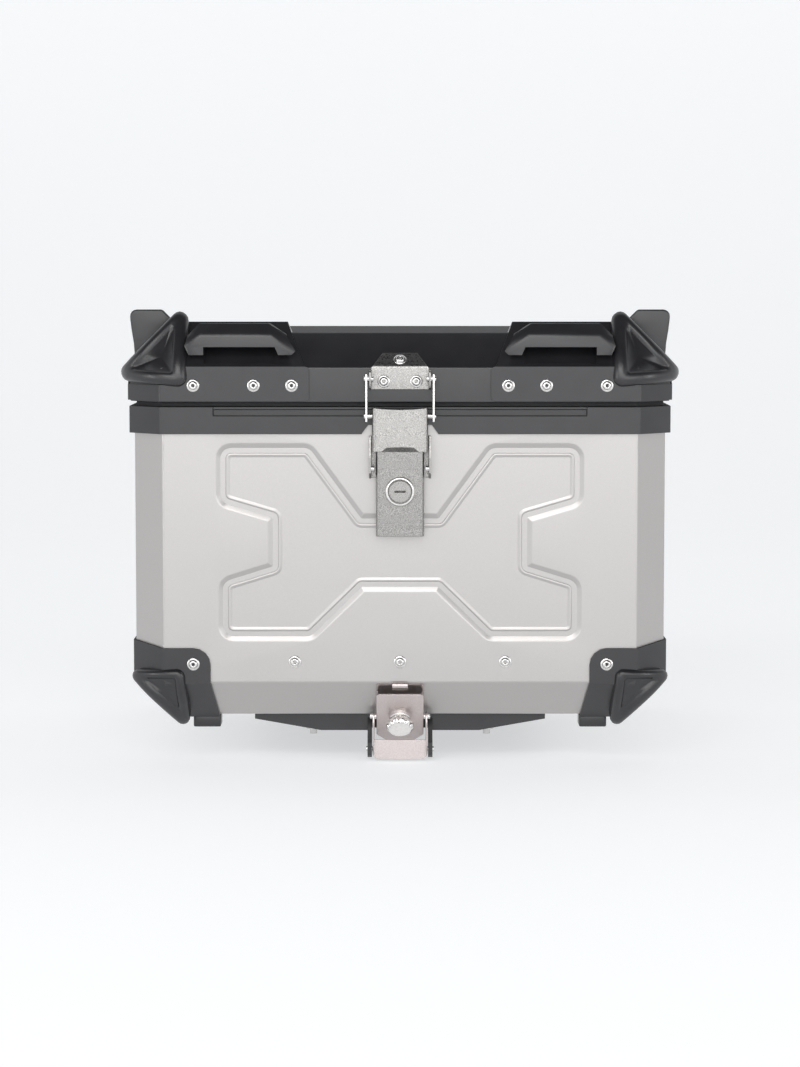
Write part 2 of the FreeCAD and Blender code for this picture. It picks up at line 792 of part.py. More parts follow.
def grab_bar():
    """Bar that bridges the lid's slope, with slanting ends and a grip opening under it."""
    bar = body("grab_bar")
    pad(bar, "YZ_Plane", "bar_in", "bar_out - bar_in", [
        ("-bar_front", "lid_band_top"), ("-bar_front", "304"), ("-bar_back", "block_top"),
        ("-bar_back + 16", "block_top"), ("-bar_back + 16", "lid_band_top")])
    pocket(bar, "YZ_Plane", "grab_in", "grab_out - grab_in", [
        ("-bar_front", "grab_low"), ("-bar_front", "bar_low"), ("-bar_back", "306"), ("-bar_back + 4", "306"),
        ("-bar_back + 16", "312"), ("-bar_back + 16", "grab_low")])
    front = "case_d / 2 - 30"
    above = "block_top + 6.5"
    pocket(bar, "XZ_Plane", front, "60",
           [("bar_in", "292"), ("bar_in", above), ("bar_in + 16", above), ("bar_in + 10", "block_top")])
    pocket(bar, "XZ_Plane", front, "60",
           [("bar_out", "296"), ("bar_out - 8", "block_top"), ("bar_out - 10", above), ("bar_out", above)])
    return bar


def lid_guards():
    """Guards on the lid's four corners. The front two carry a grab bar over a raised block, and an ear."""
    front_face = "case_d / 2 + lid_proud + guard"
    block = body("guard_block")
    pad(block, "YZ_Plane", "case_w / 2 - lid_guard_reach + 6", "lid_guard_reach - 52", [
        (minus(front_face), "lid_band_top"), (f"block_deep - {front_face}", "block_top"),
        (f"block_deep + 8 - {front_face}", "block_top"), (f"block_deep + 14 - {front_face}", "lid_top"),
        (f"block_deep + 14 - {front_face}", "lid_band_top")])
    ear = body("guard_ear")
    pad(ear, "XZ_Plane", "112", "ear_thick", [
        ("176", "ear_top - 8"), ("184", "ear_top"), ("206", "ear_top"), ("208", "ear_top - 4"),
        ("206", "300"), ("206", "275"), ("176", "275")])
    bump = common("lid_bumper", lid_form("lid_bumper_form", "bumper_proud", "267", "320.5"),
                  corner_prism("lid_bumper_prism", (212, -133, 273), (171, -139, 320.5),
                               (165, -182.5, 269)))
    hollow_form = lid_blank("lid_guard_hollow")
    holes = [rod(f"front_guard_hole_{index}", "screw_shank / 2", "20", x, minus("case_d / 2 + 12"),
                 "lid_screw_z", Y) for index, x in enumerate(lid_screws_x(), 1)]
    leg = lid_guard_leg("front_guard", "lid_guard_reach")
    solid = fuse("front_guard_solid", leg, block, grab_bar(), ear, bump)
    front = cut("lid_guard_front_right", solid, fuse("front_guard_hollow", hollow_form, *holes))
    low_bump = common("rear_bumper", lid_form("rear_bumper_form", "bumper_proud", "264", "309"),
                      corner_prism("rear_bumper_prism", (212, -133, 270), (166, -134, 316),
                                   (164, -182.5, 266)))
    rear_solid = fuse("rear_guard_solid", lid_guard_leg("rear_guard", "70"), low_bump)
    rear = cut("rear_guard_at_front", rear_solid, fuse("rear_guard_hollow", hollow_form, holes[0]))
    four_guards("lid_guard", front, rear)


def guard_screws():
    """The screws of the body guards and of the lid guards."""
    out = "case_d / 2 + guard"
    body_spots = [(f"{sign}guard_screw_x", minus(out), "guard_screw_z") for sign in ("-", "")]
    front = [button_screw(f"guard_screw_{index}", "8", *spot, -Y) for index, spot in enumerate(body_spots, 1)]
    rear = [button_screw(f"guard_screw_{index}", "8", x, out, z, Y)
            for index, (x, _, z) in enumerate(body_spots, 3)]
    group("body_guard_screws", *front, *rear)
    out = f"{out} + lid_proud"
    front = [button_screw(f"lid_screw_{index}", "8", sign + x, minus(out), "lid_screw_z", -Y)
             for index, (sign, x) in enumerate([(s, x) for s in ("-", "") for x in lid_screws_x()], 1)]
    rear = [button_screw(f"lid_screw_rear_{index}", "8", x, out, "lid_screw_z", Y)
            for index, x in enumerate(("-155.6", "155.6"), 1)]
    group("lid_guard_screws", *front, *rear)


# ---- Lid ----

def lid_shell():
    """Moulded lid: upright band, 45 degree slope and flat top, open below."""
    shell = lid_blank("lid_shell")
    hollow(shell, "lid_wall", -Z)
    front, wall = "case_d / 2 + lid_proud - lid_wall", "lid_wall"
    spots = [(sign + x, "lid_screw_z") for sign in ("-", "") for x in lid_screws_x()]
    drill(shell, "XZ_Plane", front, wall, spots, "screw_shank / 2")
    drill(shell, "XZ_Plane", minus(f"{front} + {wall}"), wall,
          [(x, "lid_screw_z") for x in ("-155.6", "155.6")], "screw_shank / 2")
    drill(shell, "XZ_Plane", front, wall, keeper_screw_spots(), "screw_shank / 2")
    return keep(shell, "lid_shell")


def lid_seal():
    """Rubber seal in the gap between the rim and the lid."""
    seal = body("lid_seal")
    pad(seal, "XY_Plane", "seal_low", "lid_low + 4 - seal_low", plan("-seal_in + 7.5"), plan("-seal_in"))
    return keep(seal, "lid_seal")


# ---- Upper latch ----

def keeper_screw_spots():
    return [(f"{sign}keeper_screw_x", "keeper_screw_z") for sign in ("-", "")]


SLOPE_NORMAL = V(0, -1, 1)


def flap_screw_place(out):
    """(y, z) on the flap screw's axis, at a height over the flap's outer face."""
    along = f"(gauge + {out}) / sqrt(2)"
    return (f"flap_high / 2 - {along} - case_d / 2 - lid_proud", f"lid_band_top + flap_high / 2 + {along}")


def keeper_bracket():
    """Sheet bracket on the lid's front: a tapered flap over the slope, and two cheeks that hold the bail."""
    bracket = body("keeper_sheet")
    lid_front = "(case_d / 2 + lid_proud)"
    pad(bracket, "XZ_Plane", lid_front, "gauge",
        rectangle("-keeper_half", "keeper_low", "keeper_half", "lid_band_top"))
    for left in ("-keeper_half - gauge", "keeper_half"):
        pad(bracket, "YZ_Plane", left, "gauge", [
            (minus(lid_front), "keeper_low"), (minus(lid_front), "lid_band_top - 1.4"),
            (f"-{lid_front} - 8", "lid_band_top - 1.4"), (f"-{lid_front} - 12", "lid_band_top - 5"),
            (f"-{lid_front} - 12", "keeper_low + 5.2"), (f"-{lid_front} - 6", "keeper_low")])
    fold = "lid_band_top"
    pad(bracket, "YZ_Plane", "-keeper_half", "2 * keeper_half", [
        (minus(lid_front), fold), (f"-{lid_front} - gauge", f"{fold} - 1"),
        (f"-{lid_front} - gauge", f"{fold} + 0.6"),
        (f"flap_high - {lid_front} - gauge / sqrt(2)", f"{fold} + flap_high + gauge / sqrt(2)"),
        (f"flap_high - {lid_front}", f"{fold} + flap_high")])
    for sign in ("-", ""):
        pocket(bracket, "XZ_Plane", "case_d / 2 - 20", "40", [
            (f"{sign}keeper_half", fold), (f"{sign}flap_half", f"{fold} + flap_high"),
            (f"{sign}flap_half", f"{fold} + 20"), (f"{sign}30", f"{fold} + 20"), (f"{sign}30", fold)])
    drill(bracket, "YZ_Plane", "-keeper_half - 2", "2 * keeper_half + 4",
          [(minus("case_d / 2 + latch_pivot_out"), "keeper_pin_z")], "pin / 2")
    drill(bracket, "XZ_Plane", lid_front, "gauge", keeper_screw_spots(), "screw_shank / 2")
    flap_hole = rod("flap_hole", "screw_shank / 2", "10", "0", *flap_screw_place("-5"), SLOPE_NORMAL)
    return keep(cut("keeper_bracket", bracket, flap_hole), "keeper_bracket")


def keeper_screws():
    """Two screws through the bracket's front and one square to its flap."""
    face = minus("case_d / 2 + lid_proud + gauge")
    screws = [button_screw(f"keeper_screw_{index}", "gauge + 6", x, face, z, -Y)
              for index, (x, z) in enumerate(keeper_screw_spots(), 1)]
    screws.append(button_screw("flap_screw", "gauge - 0.1", "0", *flap_screw_place("0"), SLOPE_NORMAL))
    group("keeper_screws", *screws)


def pin_pair(name, inner, length, z):
    """Two short pins, one each side, on the latch's pivot line at height z."""
    y = minus("case_d / 2 + latch_pivot_out")
    return group(name, *[rod(f"{name}_{index}", "pin / 2", length, x, y, z, X)
                         for index, x in enumerate((inner, minus(f"{inner} + {length}")), 1)])


def bail_links():
    """Two flat links that hang from the keeper and carry the lever."""
    y = minus("case_d / 2 + latch_pivot_out")
    low, high = "bail_pin_z - link_half - 0.8", "keeper_pin_z + link_half"
    profile = rectangle(f"{y} - link_half", low, f"{y} + link_half", high)
    for side, start in (("right", "link_x"), ("left", "-link_x - gauge")):
        link = body("bail_link_" + side)
        pad(link, "YZ_Plane", start, "gauge", profile)
        for pin_z in ("keeper_pin_z", "bail_pin_z"):
            drill(link, "YZ_Plane", start, "gauge", [(y, pin_z)], "pin / 2 + 0.05")
        keep(link, "bail_link_" + side)


def lever_section(owner, half, low, high, front, back):
    """A channel open towards the case: a front wall between two side walls."""
    pad(owner, "XZ_Plane", back, f"{front} - ({back})", rectangle(minus(half), low, half, high))
    pocket(owner, "XZ_Plane", back, f"{front} - ({back}) - gauge",
           rectangle(f"gauge - {half}", low, f"{half} - gauge", high))


def latch_cover():
    """Wide upper part of the lever, hung on the links."""
    cover = body("latch_cover")
    front = "case_d / 2 + cover_out"
    lever_section(cover, "cover_half", "cover_low", "rim_top", front, "case_d / 2 + lever_back")
    pocket(cover, "XZ_Plane", f"{front} - 2", "2",
           both_sides([("10", "cover_low + 3.4"), ("14", "cover_low")]))
    drill(cover, "YZ_Plane", "-cover_half", "2 * cover_half",
          [(minus("case_d / 2 + latch_pivot_out"), "bail_pin_z")], "pin / 2")
    return keep(cover, "latch_cover")


def lock_plate():
    """Narrow lower part of the lever, which carries the lock."""
    plate = body("lock_plate")
    front = "case_d / 2 + lock_out"
    lever_section(plate, "lock_half", "lock_low", "lock_high", front, "case_d / 2 + lever_back")
    drill(plate, "XZ_Plane", f"{front} - gauge", "gauge", [("0", "lock_z")], "plug_r + 0.8")
    return keep(plate, "lock_plate")


def key_lock():
    """Bezel, turning plug with its keyhole, and the cam behind."""
    front = "case_d / 2 + lock_out"
    centre = [("0", "lock_z")]
    bezel = body("lock_bezel")
    pad_round(bezel, "XZ_Plane", front, "3", centre, "bezel_r")
    pad_round(bezel, "XZ_Plane", f"{front} - 6", "6.1", centre, "plug_r + 0.7")
    drill(bezel, "XZ_Plane", f"{front} - 6", "9", centre, "plug_r + 0.05")
    keep(bezel, "lock_bezel")
    plug = body("key_plug")
    pad_round(plug, "XZ_Plane", f"{front} - 6", "9.4", centre, "plug_r")
    pocket(plug, "XZ_Plane", f"{front} - 4.6", "8",
           rectangle("-plug_r / 2", "lock_z - 0.75", "plug_r / 2", "lock_z + 0.75"))
    keep(plug, "key_plug")
    cam = body("lock_cam")
    pad(cam, "XZ_Plane", f"{front} - 8", "2", rectangle("-5", "lock_z - 5", "5", "lock_z + 13"))
    keep(cam, "lock_cam")


def latch_base():
    """Bracket riveted to the case's front, whose pins the lever draws against."""
    base = body("latch_base")
    front = "case_d / 2"
    pad(base, "XZ_Plane", front, "gauge", rectangle("-base_half", "base_low", "base_half", "base_high"))
    for left in ("-base_half", "base_half - gauge"):
        pad(base, "YZ_Plane", left, "gauge", [
            (minus(front), "base_low"), (minus(front), "base_high"), (f"-{front} - 9", "base_high"),
            (f"-{front} - 15", "base_high - 16"), (f"-{front} - 15", "base_low + 4"),
            (f"-{front} - 9", "base_low")])
    drill(base, "YZ_Plane", "-base_half - 1", "2 * base_half + 2",
          [(minus(f"{front} + latch_pivot_out"), "hook_pin_z")], "pin / 2")
    return keep(base, "latch_base")


# ---- Rear hinges ----

def hinges():
    """Two hinges: a leaf on the rim, a leaf on the lid, and the pin that joins them."""
    fixed, moving, pins = [], [], []
    third = "hinge_w / 3"
    rim_back, lid_back = "case_d / 2 + rim_proud", "case_d / 2 + lid_proud"
    for index, side in enumerate(("-", ""), 1):
        left = f"{side}hinge_x - hinge_w / 2"
        middle, middle_w = f"{left} + {third} + hinge_gap", f"{third} - 2 * hinge_gap"
        low = box(f"rim_leaf_{index}", left, rim_back, "hinge_low", "hinge_w", "hinge_leaf",
                  "hinge_z - hinge_low - hinge_r - 1")
        arm = box(f"rim_arm_{index}", middle, rim_back, "hinge_z - hinge_r - 2", middle_w,
                  f"hinge_out - {rim_back}", "hinge_r")
        knuckle = rod(f"rim_knuckle_{index}", "hinge_r", middle_w, middle, "hinge_out", "hinge_z", X)
        bore = rod(f"rim_bore_{index}", "hinge_pin_r + 0.05", "hinge_w", left, "hinge_out", "hinge_z", X)
        fixed.append(cut(f"rim_hinge_{index}", fuse(f"rim_hinge_blank_{index}", low, arm, knuckle), bore))
        high = box(f"lid_leaf_{index}", left, lid_back, "hinge_z + hinge_r + 1", "hinge_w", "hinge_leaf",
                   "hinge_leaf_high")
        ends = []
        for end, start in enumerate((left, f"{left} + 2 * {third}"), 1):
            ends.append(rod(f"lid_knuckle_{index}_{end}", "hinge_r", third, start, "hinge_out", "hinge_z", X))
            ends.append(box(f"lid_arm_{index}_{end}", start, lid_back, "hinge_z + 2", third,
                            f"hinge_out - {lid_back}", "hinge_r"))
        bore = rod(f"lid_bore_{index}", "hinge_pin_r", "hinge_w", left, "hinge_out", "hinge_z", X)
        moving.append(cut(f"lid_hinge_{index}", fuse(f"lid_hinge_blank_{index}", high, *ends), bore))
        pins.append(rod(f"hinge_pin_{index}", "hinge_pin_r", "hinge_w", left, "hinge_out", "hinge_z", X))
    group("rim_hinge_leaves", *fixed)
    group("lid_hinge_leaves", *moving)
    group("hinge_pins", *pins)


# ---- The whole case ----

def build():
    mounting_plate()
    rack_fasteners()
    catch_pins()
    base_catch()
    release_plate()
    release_pins()
    knob_ring()
    release_knob()
    release_cam()
    release_back_plate()
    body_wall()
    floor_pan()
    front_brace()
    body_screws()
    floor_lugs()
    floor_mat()
    upper_rim()
    body_guards()
    lid_shell()
    lid_guards()
    guard_screws()
    lid_seal()
    keeper_bracket()
    keeper_screws()
    pin_pair("keeper_pins", "20", "7", "keeper_pin_z")
    bail_links()
    latch_cover()
    pin_pair("lever_pins", "19.5", "7.5", "bail_pin_z")
    lock_plate()
    key_lock()
    latch_base()
    pin_pair("hook_pins", "19.3", "4", "hook_pin_z")
    hinges()
    doc.recompute()


def check():
    """Stops at the first object that failed or has no sound shape."""
    for one in doc.Objects:
        if "Invalid" in one.State or "Error" in one.State:
            raise RuntimeError(f"{one.Name} failed: {one.State}")
    for one in subparts:
        if one.Shape.isNull() or not one.Shape.isValid() or not one.Shape.Solids:
            raise RuntimeError(f"{one.Label} has no sound shape")


def write():
    os.makedirs("parts", exist_ok=True)
    for one in subparts:
        one.Shape.exportStep(f"parts/{one.Label}.step")


build()
check()
write()
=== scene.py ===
import bmesh
import bpy
import json
import math
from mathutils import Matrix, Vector


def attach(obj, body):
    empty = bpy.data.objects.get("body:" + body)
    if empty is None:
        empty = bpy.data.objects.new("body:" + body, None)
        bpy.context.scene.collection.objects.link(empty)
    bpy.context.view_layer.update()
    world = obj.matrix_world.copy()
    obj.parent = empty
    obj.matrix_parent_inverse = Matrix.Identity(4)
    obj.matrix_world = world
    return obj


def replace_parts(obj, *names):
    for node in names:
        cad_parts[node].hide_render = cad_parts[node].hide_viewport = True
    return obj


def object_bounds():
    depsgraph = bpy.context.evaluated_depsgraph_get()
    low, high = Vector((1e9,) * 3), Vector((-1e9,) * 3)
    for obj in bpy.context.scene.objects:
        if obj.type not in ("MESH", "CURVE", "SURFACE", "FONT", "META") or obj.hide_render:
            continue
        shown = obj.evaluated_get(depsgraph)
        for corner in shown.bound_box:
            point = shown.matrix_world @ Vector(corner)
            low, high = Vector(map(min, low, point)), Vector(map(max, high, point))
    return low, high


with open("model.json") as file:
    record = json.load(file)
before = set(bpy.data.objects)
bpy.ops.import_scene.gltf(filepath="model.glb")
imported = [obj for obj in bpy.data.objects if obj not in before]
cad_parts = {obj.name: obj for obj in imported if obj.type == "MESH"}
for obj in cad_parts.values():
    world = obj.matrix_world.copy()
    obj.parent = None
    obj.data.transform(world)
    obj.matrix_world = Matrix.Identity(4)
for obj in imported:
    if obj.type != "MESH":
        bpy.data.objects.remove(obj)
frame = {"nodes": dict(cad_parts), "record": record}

# The looks of a quick-release aluminium top case. Shapes are worked out in millimetres in the CAD's frame:
# +X to the right, -Y the latch side, +Z up. MM turns them into the scene's metres.
MM = 0.001
cad_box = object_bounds()

# Body: half its width and depth, the cut of its corners, its floor, the foot and top of its wall, its sheet.
HALF_W, HALF_D, CORNER = 202, 172.5, 23
FLOOR, WAIST, WALL_TOP, GAUGE = 14, 42, 249, 1.5
BELLY = WAIST - FLOOR
# Lid: how far it stands out past the body, its lower edge, the top of its band, its flat top and its wall.
LID_OUT, LID_LOW, LID_BAND, LID_TOP, LID_WALL = 3, 255.1, 281, 307, 2.5
LID_SLOPE = LID_TOP - LID_BAND
# Corner guards: their thickness, and how far a bend in them moves along for each millimetre of it.
GUARD = 2
BEND_SHIFT = math.sqrt(2) - 1
# How much the corner's cut grows for each millimetre that the plan grows.
CUT_GROWTH = 2 - math.sqrt(2)
# Opening under each grab handle: its two ends, the handle's foot and its underside.
GRIP_IN, GRIP_OUT, HANDLE_FOOT, HANDLE_UNDER = 94.2, 147.8, 290.5, 296.5
# A hair's breadth between two sections that make a step.
STEP = 0.01
# Screws: (distance from the middle, height) on the front wall, body guards, lid guards and keeper.
BODY_SCREW, GUARD_SCREW, KEEPER_SCREW = (79.8, 57.9), (156.7, 56.4), (12.2, 270.8)
LID_SCREWS_X, LID_SCREW_Z = (155.6, 110.2, 81.5), 267.7
# Upper latch: the faces of its cover and lock plate, the back of their folds, and the lock's height.
COVER_FACE, LOCK_FACE, LEVER_BACK, LOCK_Z = -HALF_D - 17, -HALF_D - 15.4, -HALF_D - 8, 188.7
# Keeper: half its width, its foot, the height of its flap, and the flap's sheet as a step along y and z.
KEEPER_HALF, KEEPER_LOW, FLAP_HIGH, FLAP_SHEET = 21.7, 264.8, 9.5, 1.06
# Points that each of the plan's eight corners is rounded with, and where its front wall and its end come.
CORNER_POINTS = 5
FRONT_END, PLAN_END = 6 * CORNER_POINTS, 8 * CORNER_POINTS


# ---- Outlines: lists of points in a plane, anticlockwise ----

def offset(points, distance):
    """A closed outline moved outwards, its corners kept sharp."""
    moved = []
    for index, here in enumerate(points):
        here = Vector(here)
        into = (here - Vector(points[index - 1])).normalized()
        away = (Vector(points[(index + 1) % len(points)]) - here).normalized()
        across_in, across_out = Vector((into.y, -into.x)), Vector((away.y, -away.x))
        mitre = (across_in + across_out) / (1 + across_in.dot(across_out))
        moved.append(here + mitre * distance)
    return moved


def arc(before, here, after, radius, steps):
    """The points that round one corner off by a radius."""
    before, here, after = Vector(before), Vector(here), Vector(after)
    into, away = (before - here).normalized(), (after - here).normalized()
    half = into.angle(away) / 2
    centre = here + (into + away).normalized() * radius / math.sin(half)
    cut = radius / math.tan(half)
    first, last = here + into * cut - centre, here + away * cut - centre
    return [centre + first.slerp(last, step / steps) * radius for step in range(steps + 1)]


def rounded(points, radius, steps=4):
    """A closed outline with its corners rounded off, by one radius or by one for each corner."""
    radii = radius if isinstance(radius, list) else [radius] * len(points)
    smooth = []
    for index, here in enumerate(points):
        smooth += arc(points[index - 1], here, points[(index + 1) % len(points)], radii[index], steps)
    return smooth


def box(left, low, right, high, radius, steps=4):
    """The outline of a rectangle with rounded corners."""
    return rounded([(left, low), (right, low), (right, high), (left, high)], radius, steps)


def bent(points, radius, steps=4):
    """An open line with its inner corners rounded off."""
    smooth = [Vector(points[0])]
    for before, here, after in zip(points, points[1:], points[2:]):
        smooth += arc(before, here, after, radius, steps)
    return smooth + [Vector(points[-1])]


def turns_left(points, index):
    """Whether an anticlockwise outline bulges outwards at this corner."""
    here = Vector(points[index])
    into = here - Vector(points[index - 1])
    away = Vector(points[(index + 1) % len(points)]) - here
    return into.x * away.y - into.y * away.x > 0


def parallel(points, distance, radius, least=0.8, steps=5):
    """A rounded outline and its parallel curves: the radius grows with distance at bulging corners."""
    radii = [max(least, radius + (distance if turns_left(points, index) else -distance))
             for index in range(len(points))]
    return rounded(offset(points, distance), radii, steps)


def ribbon(line, thickness):
    """The closed outline of a sheet bent along an open line, thickness to its left."""
    inner = []
    for index, here in enumerate(line):
        before, after = line[max(index - 1, 0)], line[min(index + 1, len(line) - 1)]
        into, away = (here - before), (after - here)
        into = into.normalized() if into.length else away.normalized()
        away = away.normalized() if away.length else into
        left_in, left_out = Vector((-into.y, into.x)), Vector((-away.y, away.x))
        inner.append(here + (left_in + left_out) / (1 + left_in.dot(left_out)) * thickness)
    return [Vector(point) for point in line] + inner[::-1]


def octagon(grow, radius=3.0):
    """The case's plan moved outwards by grow, with rounded folds. It starts at the right side's rear end."""
    half_w, half_d, cut = HALF_W + grow, HALF_D + grow, CORNER + CUT_GROWTH * grow
    side, front = half_d - cut, half_w - cut
    corners = [(half_w, side), (front, half_d), (-front, half_d), (-half_w, side),
               (-half_w, -side), (-front, -half_d), (front, -half_d), (half_w, -side)]
    return rounded(corners, radius, CORNER_POINTS - 1)


# ---- Shapes: points and faces gathered in millimetres ----

# An edge counts as sharp when its faces turn by more than this, in degrees.
SHARP = 35


class Shape:
    """A mesh in the making."""

    def __init__(self):
        self.points = []
        self.faces = []
        self.sheets = []

    def ring(self, points):
        """Adds points and gives their indices."""
        start = len(self.points)
        self.points += [Vector(point) for point in points]
        return list(range(start, len(self.points)))

    def band(self, low, high):
        """Joins two rings of as many points each."""
        for index in range(len(low)):
            after = (index + 1) % len(low)
            self.faces.append((low[index], low[after], high[after], high[index]))

    def loft(self, rings, caps=(True, True)):
        """Joins rings of points in a row, with a face over the first and the last if caps says so."""
        made = [self.ring(points) for points in rings]
        for low, high in zip(made, made[1:]):
            self.band(low, high)
        for ring, wanted in zip((made[0], made[-1]), caps):
            if wanted:
                self.faces.append(tuple(ring))
        return made

    def fan(self, ring, centre):
        """Closes a ring with triangles that meet at a point."""
        middle = self.ring([centre])[0]
        for index, here in enumerate(ring):
            self.faces.append((here, ring[(index + 1) % len(ring)], middle))

    def sheet(self, *rings):
        """A flat face bounded by the first ring, with a hole at each of the others."""
        self.sheets.append(rings)

    def prism(self, outline, place, start, end, edge, steps=2):
        """An outline drawn out from start to end, its rims rounded by edge. place(a, b, c) gives a point."""
        inwards = 1 if end > start else -1
        levels = []
        for step in range(steps + 1):
            turn = math.pi / 2 * step / steps
            levels.append((start + edge * (1 - math.sin(turn)) * inwards, edge * (1 - math.cos(turn))))
        low = levels[::-1]
        high = [(start + end - level, inset) for level, inset in levels]
        self.loft([[place(a, b, level) for a, b in offset(outline, -inset)] for level, inset in low + high])

    def turn(self, profile, centre, axis, segments, reach=None):
        """A profile of (radius, height) turned round an axis. reach reshapes each ring by its angles."""
        axis = Vector(axis).normalized()
        side = axis.orthogonal().normalized()
        other = axis.cross(side)
        rings = []
        for radius, height in profile:
            ring = []
            for index in range(segments):
                angle = 2 * math.pi * index / segments
                out = reach(angle, radius, height) if reach else radius
                spoke = side * math.cos(angle) + other * math.sin(angle)
                ring.append(Vector(centre) + axis * height + spoke * out)
            rings.append(ring)
        return self.loft(rings)

    def mirrored(self, *signs):
        """A copy mirrored by the signs of its x, y and z."""
        copy = Shape()
        copy.points = [Vector(a * b for a, b in zip(point, signs)) for point in self.points]
        copy.faces, copy.sheets = list(self.faces), list(self.sheets)
        return copy


def piece(name, shape, material_name, body, stands_for, bevel=0.0, angle=SHARP):
    """Makes the mesh object of a shape, rounds its sharp edges, and puts it in place of its CAD nodes."""
    material = MATERIALS[material_name]
    mesh = bpy.data.meshes.new(name)
    model = bmesh.new()
    points = [model.verts.new(point * MM) for point in shape.points]
    for corners in shape.faces:
        model.faces.new([points[corner] for corner in corners])
    for rings in shape.sheets:
        edges = []
        for ring in rings:
            for first, second in zip(ring, ring[1:] + ring[:1]):
                ends = points[first], points[second]
                edges.append(model.edges.get(ends) or model.edges.new(ends))
        bmesh.ops.triangle_fill(model, use_beauty=True, use_dissolve=False, edges=edges)
    bmesh.ops.remove_doubles(model, verts=model.verts, dist=2 * STEP * MM)
    bmesh.ops.dissolve_degenerate(model, edges=model.edges, dist=STEP * MM)
    bmesh.ops.recalc_face_normals(model, faces=model.faces)
    model.to_mesh(mesh)
    model.free()
    made = bpy.data.objects.new(name, mesh)
    bpy.context.scene.collection.objects.link(made)
    mesh.materials.append(material)
    mesh.shade_smooth()
    mesh.set_sharp_from_angle(angle=math.radians(angle))
    if bevel:
        soften(made, bevel, angle)
    else:
        made.modifiers.new("normals", "WEIGHTED_NORMAL").keep_sharp = True
    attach(made, body)
    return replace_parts(made, *stands_for)


def soften(thing, width, angle=SHARP):
    """Rounds an object's edges that are sharper than an angle."""
    rounding = thing.modifiers.new("rounding", "BEVEL")
    rounding.width = width * MM
    rounding.segments = 3
    rounding.limit_method = "ANGLE"
    rounding.angle_limit = math.radians(angle)
    rounding.harden_normals = True


# ---- Materials ----

def principled(name, colour, metallic, roughness):
    """A material whose colour and roughness are the plain ones, before noise varies them."""
    material = bpy.data.materials.new(name)
    material.use_nodes = True
    shader = material.node_tree.nodes["Principled BSDF"]
    shader.inputs["Base Color"].default_value = (*colour, 1)
    shader.inputs["Metallic"].default_value = metallic
    shader.inputs["Roughness"].default_value = roughness
    return material


def noise(material, scale, detail=2.0):
    """Object-space noise. scale is the number of grains in a metre."""
    nodes, links = material.node_tree.nodes, material.node_tree.links
    place = nodes.new("ShaderNodeTexCoord")
    texture = nodes.new("ShaderNodeTexNoise")
    texture.inputs["Scale"].default_value = scale
    texture.inputs["Detail"].default_value = detail
    links.new(place.outputs["Object"], texture.inputs["Vector"])
    return texture.outputs["Fac"]


def spread(material, value, low, high, to_low, to_high):
    """Maps a value from between low and high to between to_low and to_high."""
    nodes, links = material.node_tree.nodes, material.node_tree.links
    mapped = nodes.new("ShaderNodeMapRange")
    for socket, number in zip(("From Min", "From Max", "To Min", "To Max"), (low, high, to_low, to_high)):
        mapped.inputs[socket].default_value = number
    links.new(value, mapped.inputs["Value"])
    return mapped.outputs["Result"]


def vary_colour(material, value, dark, light):
    """Runs the colour from dark to light with a value."""
    nodes, links = material.node_tree.nodes, material.node_tree.links
    mix = nodes.new("ShaderNodeMix")
    mix.data_type = "RGBA"
    mix.inputs["A"].default_value = (*dark, 1)
    mix.inputs["B"].default_value = (*light, 1)
    links.new(value, mix.inputs["Factor"])
    links.new(mix.outputs["Result"], nodes["Principled BSDF"].inputs["Base Color"])


def vary_roughness(material, value):
    material.node_tree.links.new(value, material.node_tree.nodes["Principled BSDF"].inputs["Roughness"])


def grain(material, value, height, strength):
    """Bumps of the given height in millimetres."""
    nodes, links = material.node_tree.nodes, material.node_tree.links
    bump = nodes.new("ShaderNodeBump")
    bump.inputs["Strength"].default_value = strength
    bump.inputs["Distance"].default_value = height * MM
    links.new(value, bump.inputs["Height"])
    links.new(bump.outputs["Normal"], nodes["Principled BSDF"].inputs["Normal"])


# The part of noise's range, from 0 to 1, that holds most of its values.
MOST = (0.3, 0.7)


def body_sheet():
    """Satin silver coat with a fine metallic sparkle."""
    material = principled("body_sheet", (0.47, 0.455, 0.445), 0.8, 0.33)
    flakes = noise(material, 1500)
    vary_colour(material, spread(material, flakes, *MOST, 0, 1), (0.46, 0.445, 0.435), (0.485, 0.47, 0.46))
    vary_roughness(material, spread(material, noise(material, 25), *MOST, 0.31, 0.35))
    grain(material, flakes, 0.01, 0.1)
    return material


def black_moulding():
    """Fine-grained black plastic, glossier on its fronts and slopes than on its level tops."""
    fronts, tops = 0.31, 0.9
    material = principled("black_moulding", (0.014, 0.014, 0.017), 0, fronts)
    nodes, links = material.node_tree.nodes, material.node_tree.links
    nodes["Principled BSDF"].inputs["Specular IOR Level"].default_value = 0.7
    texture = noise(material, 900)
    patches = spread(material, noise(material, 60), *MOST, 0, 1)
    vary_colour(material, patches, (0.012, 0.012, 0.0135), (0.016, 0.016, 0.018))
    facing = nodes.new("ShaderNodeNewGeometry")
    split = nodes.new("ShaderNodeSeparateXYZ")
    links.new(facing.outputs["Normal"], split.inputs["Vector"])
    vary_roughness(material, spread(material, split.outputs["Z"], 0.9, 1.0, fronts, tops))
    grain(material, texture, 0.03, 0.3)
    return material


def zinc_sheet():
    """Galvanised steel with a fine speckle."""
    material = principled("zinc_sheet", (0.5, 0.49, 0.47), 1, 0.35)
    speckle = noise(material, 2400, 3)
    spots = spread(material, speckle, 0.38, 0.62, 0, 1)
    vary_colour(material, spots, (0.2, 0.195, 0.19), (0.46, 0.45, 0.435))
    vary_roughness(material, spread(material, noise(material, 800), 0.35, 0.65, 0.26, 0.38))
    grain(material, speckle, 0.015, 0.2)
    return material


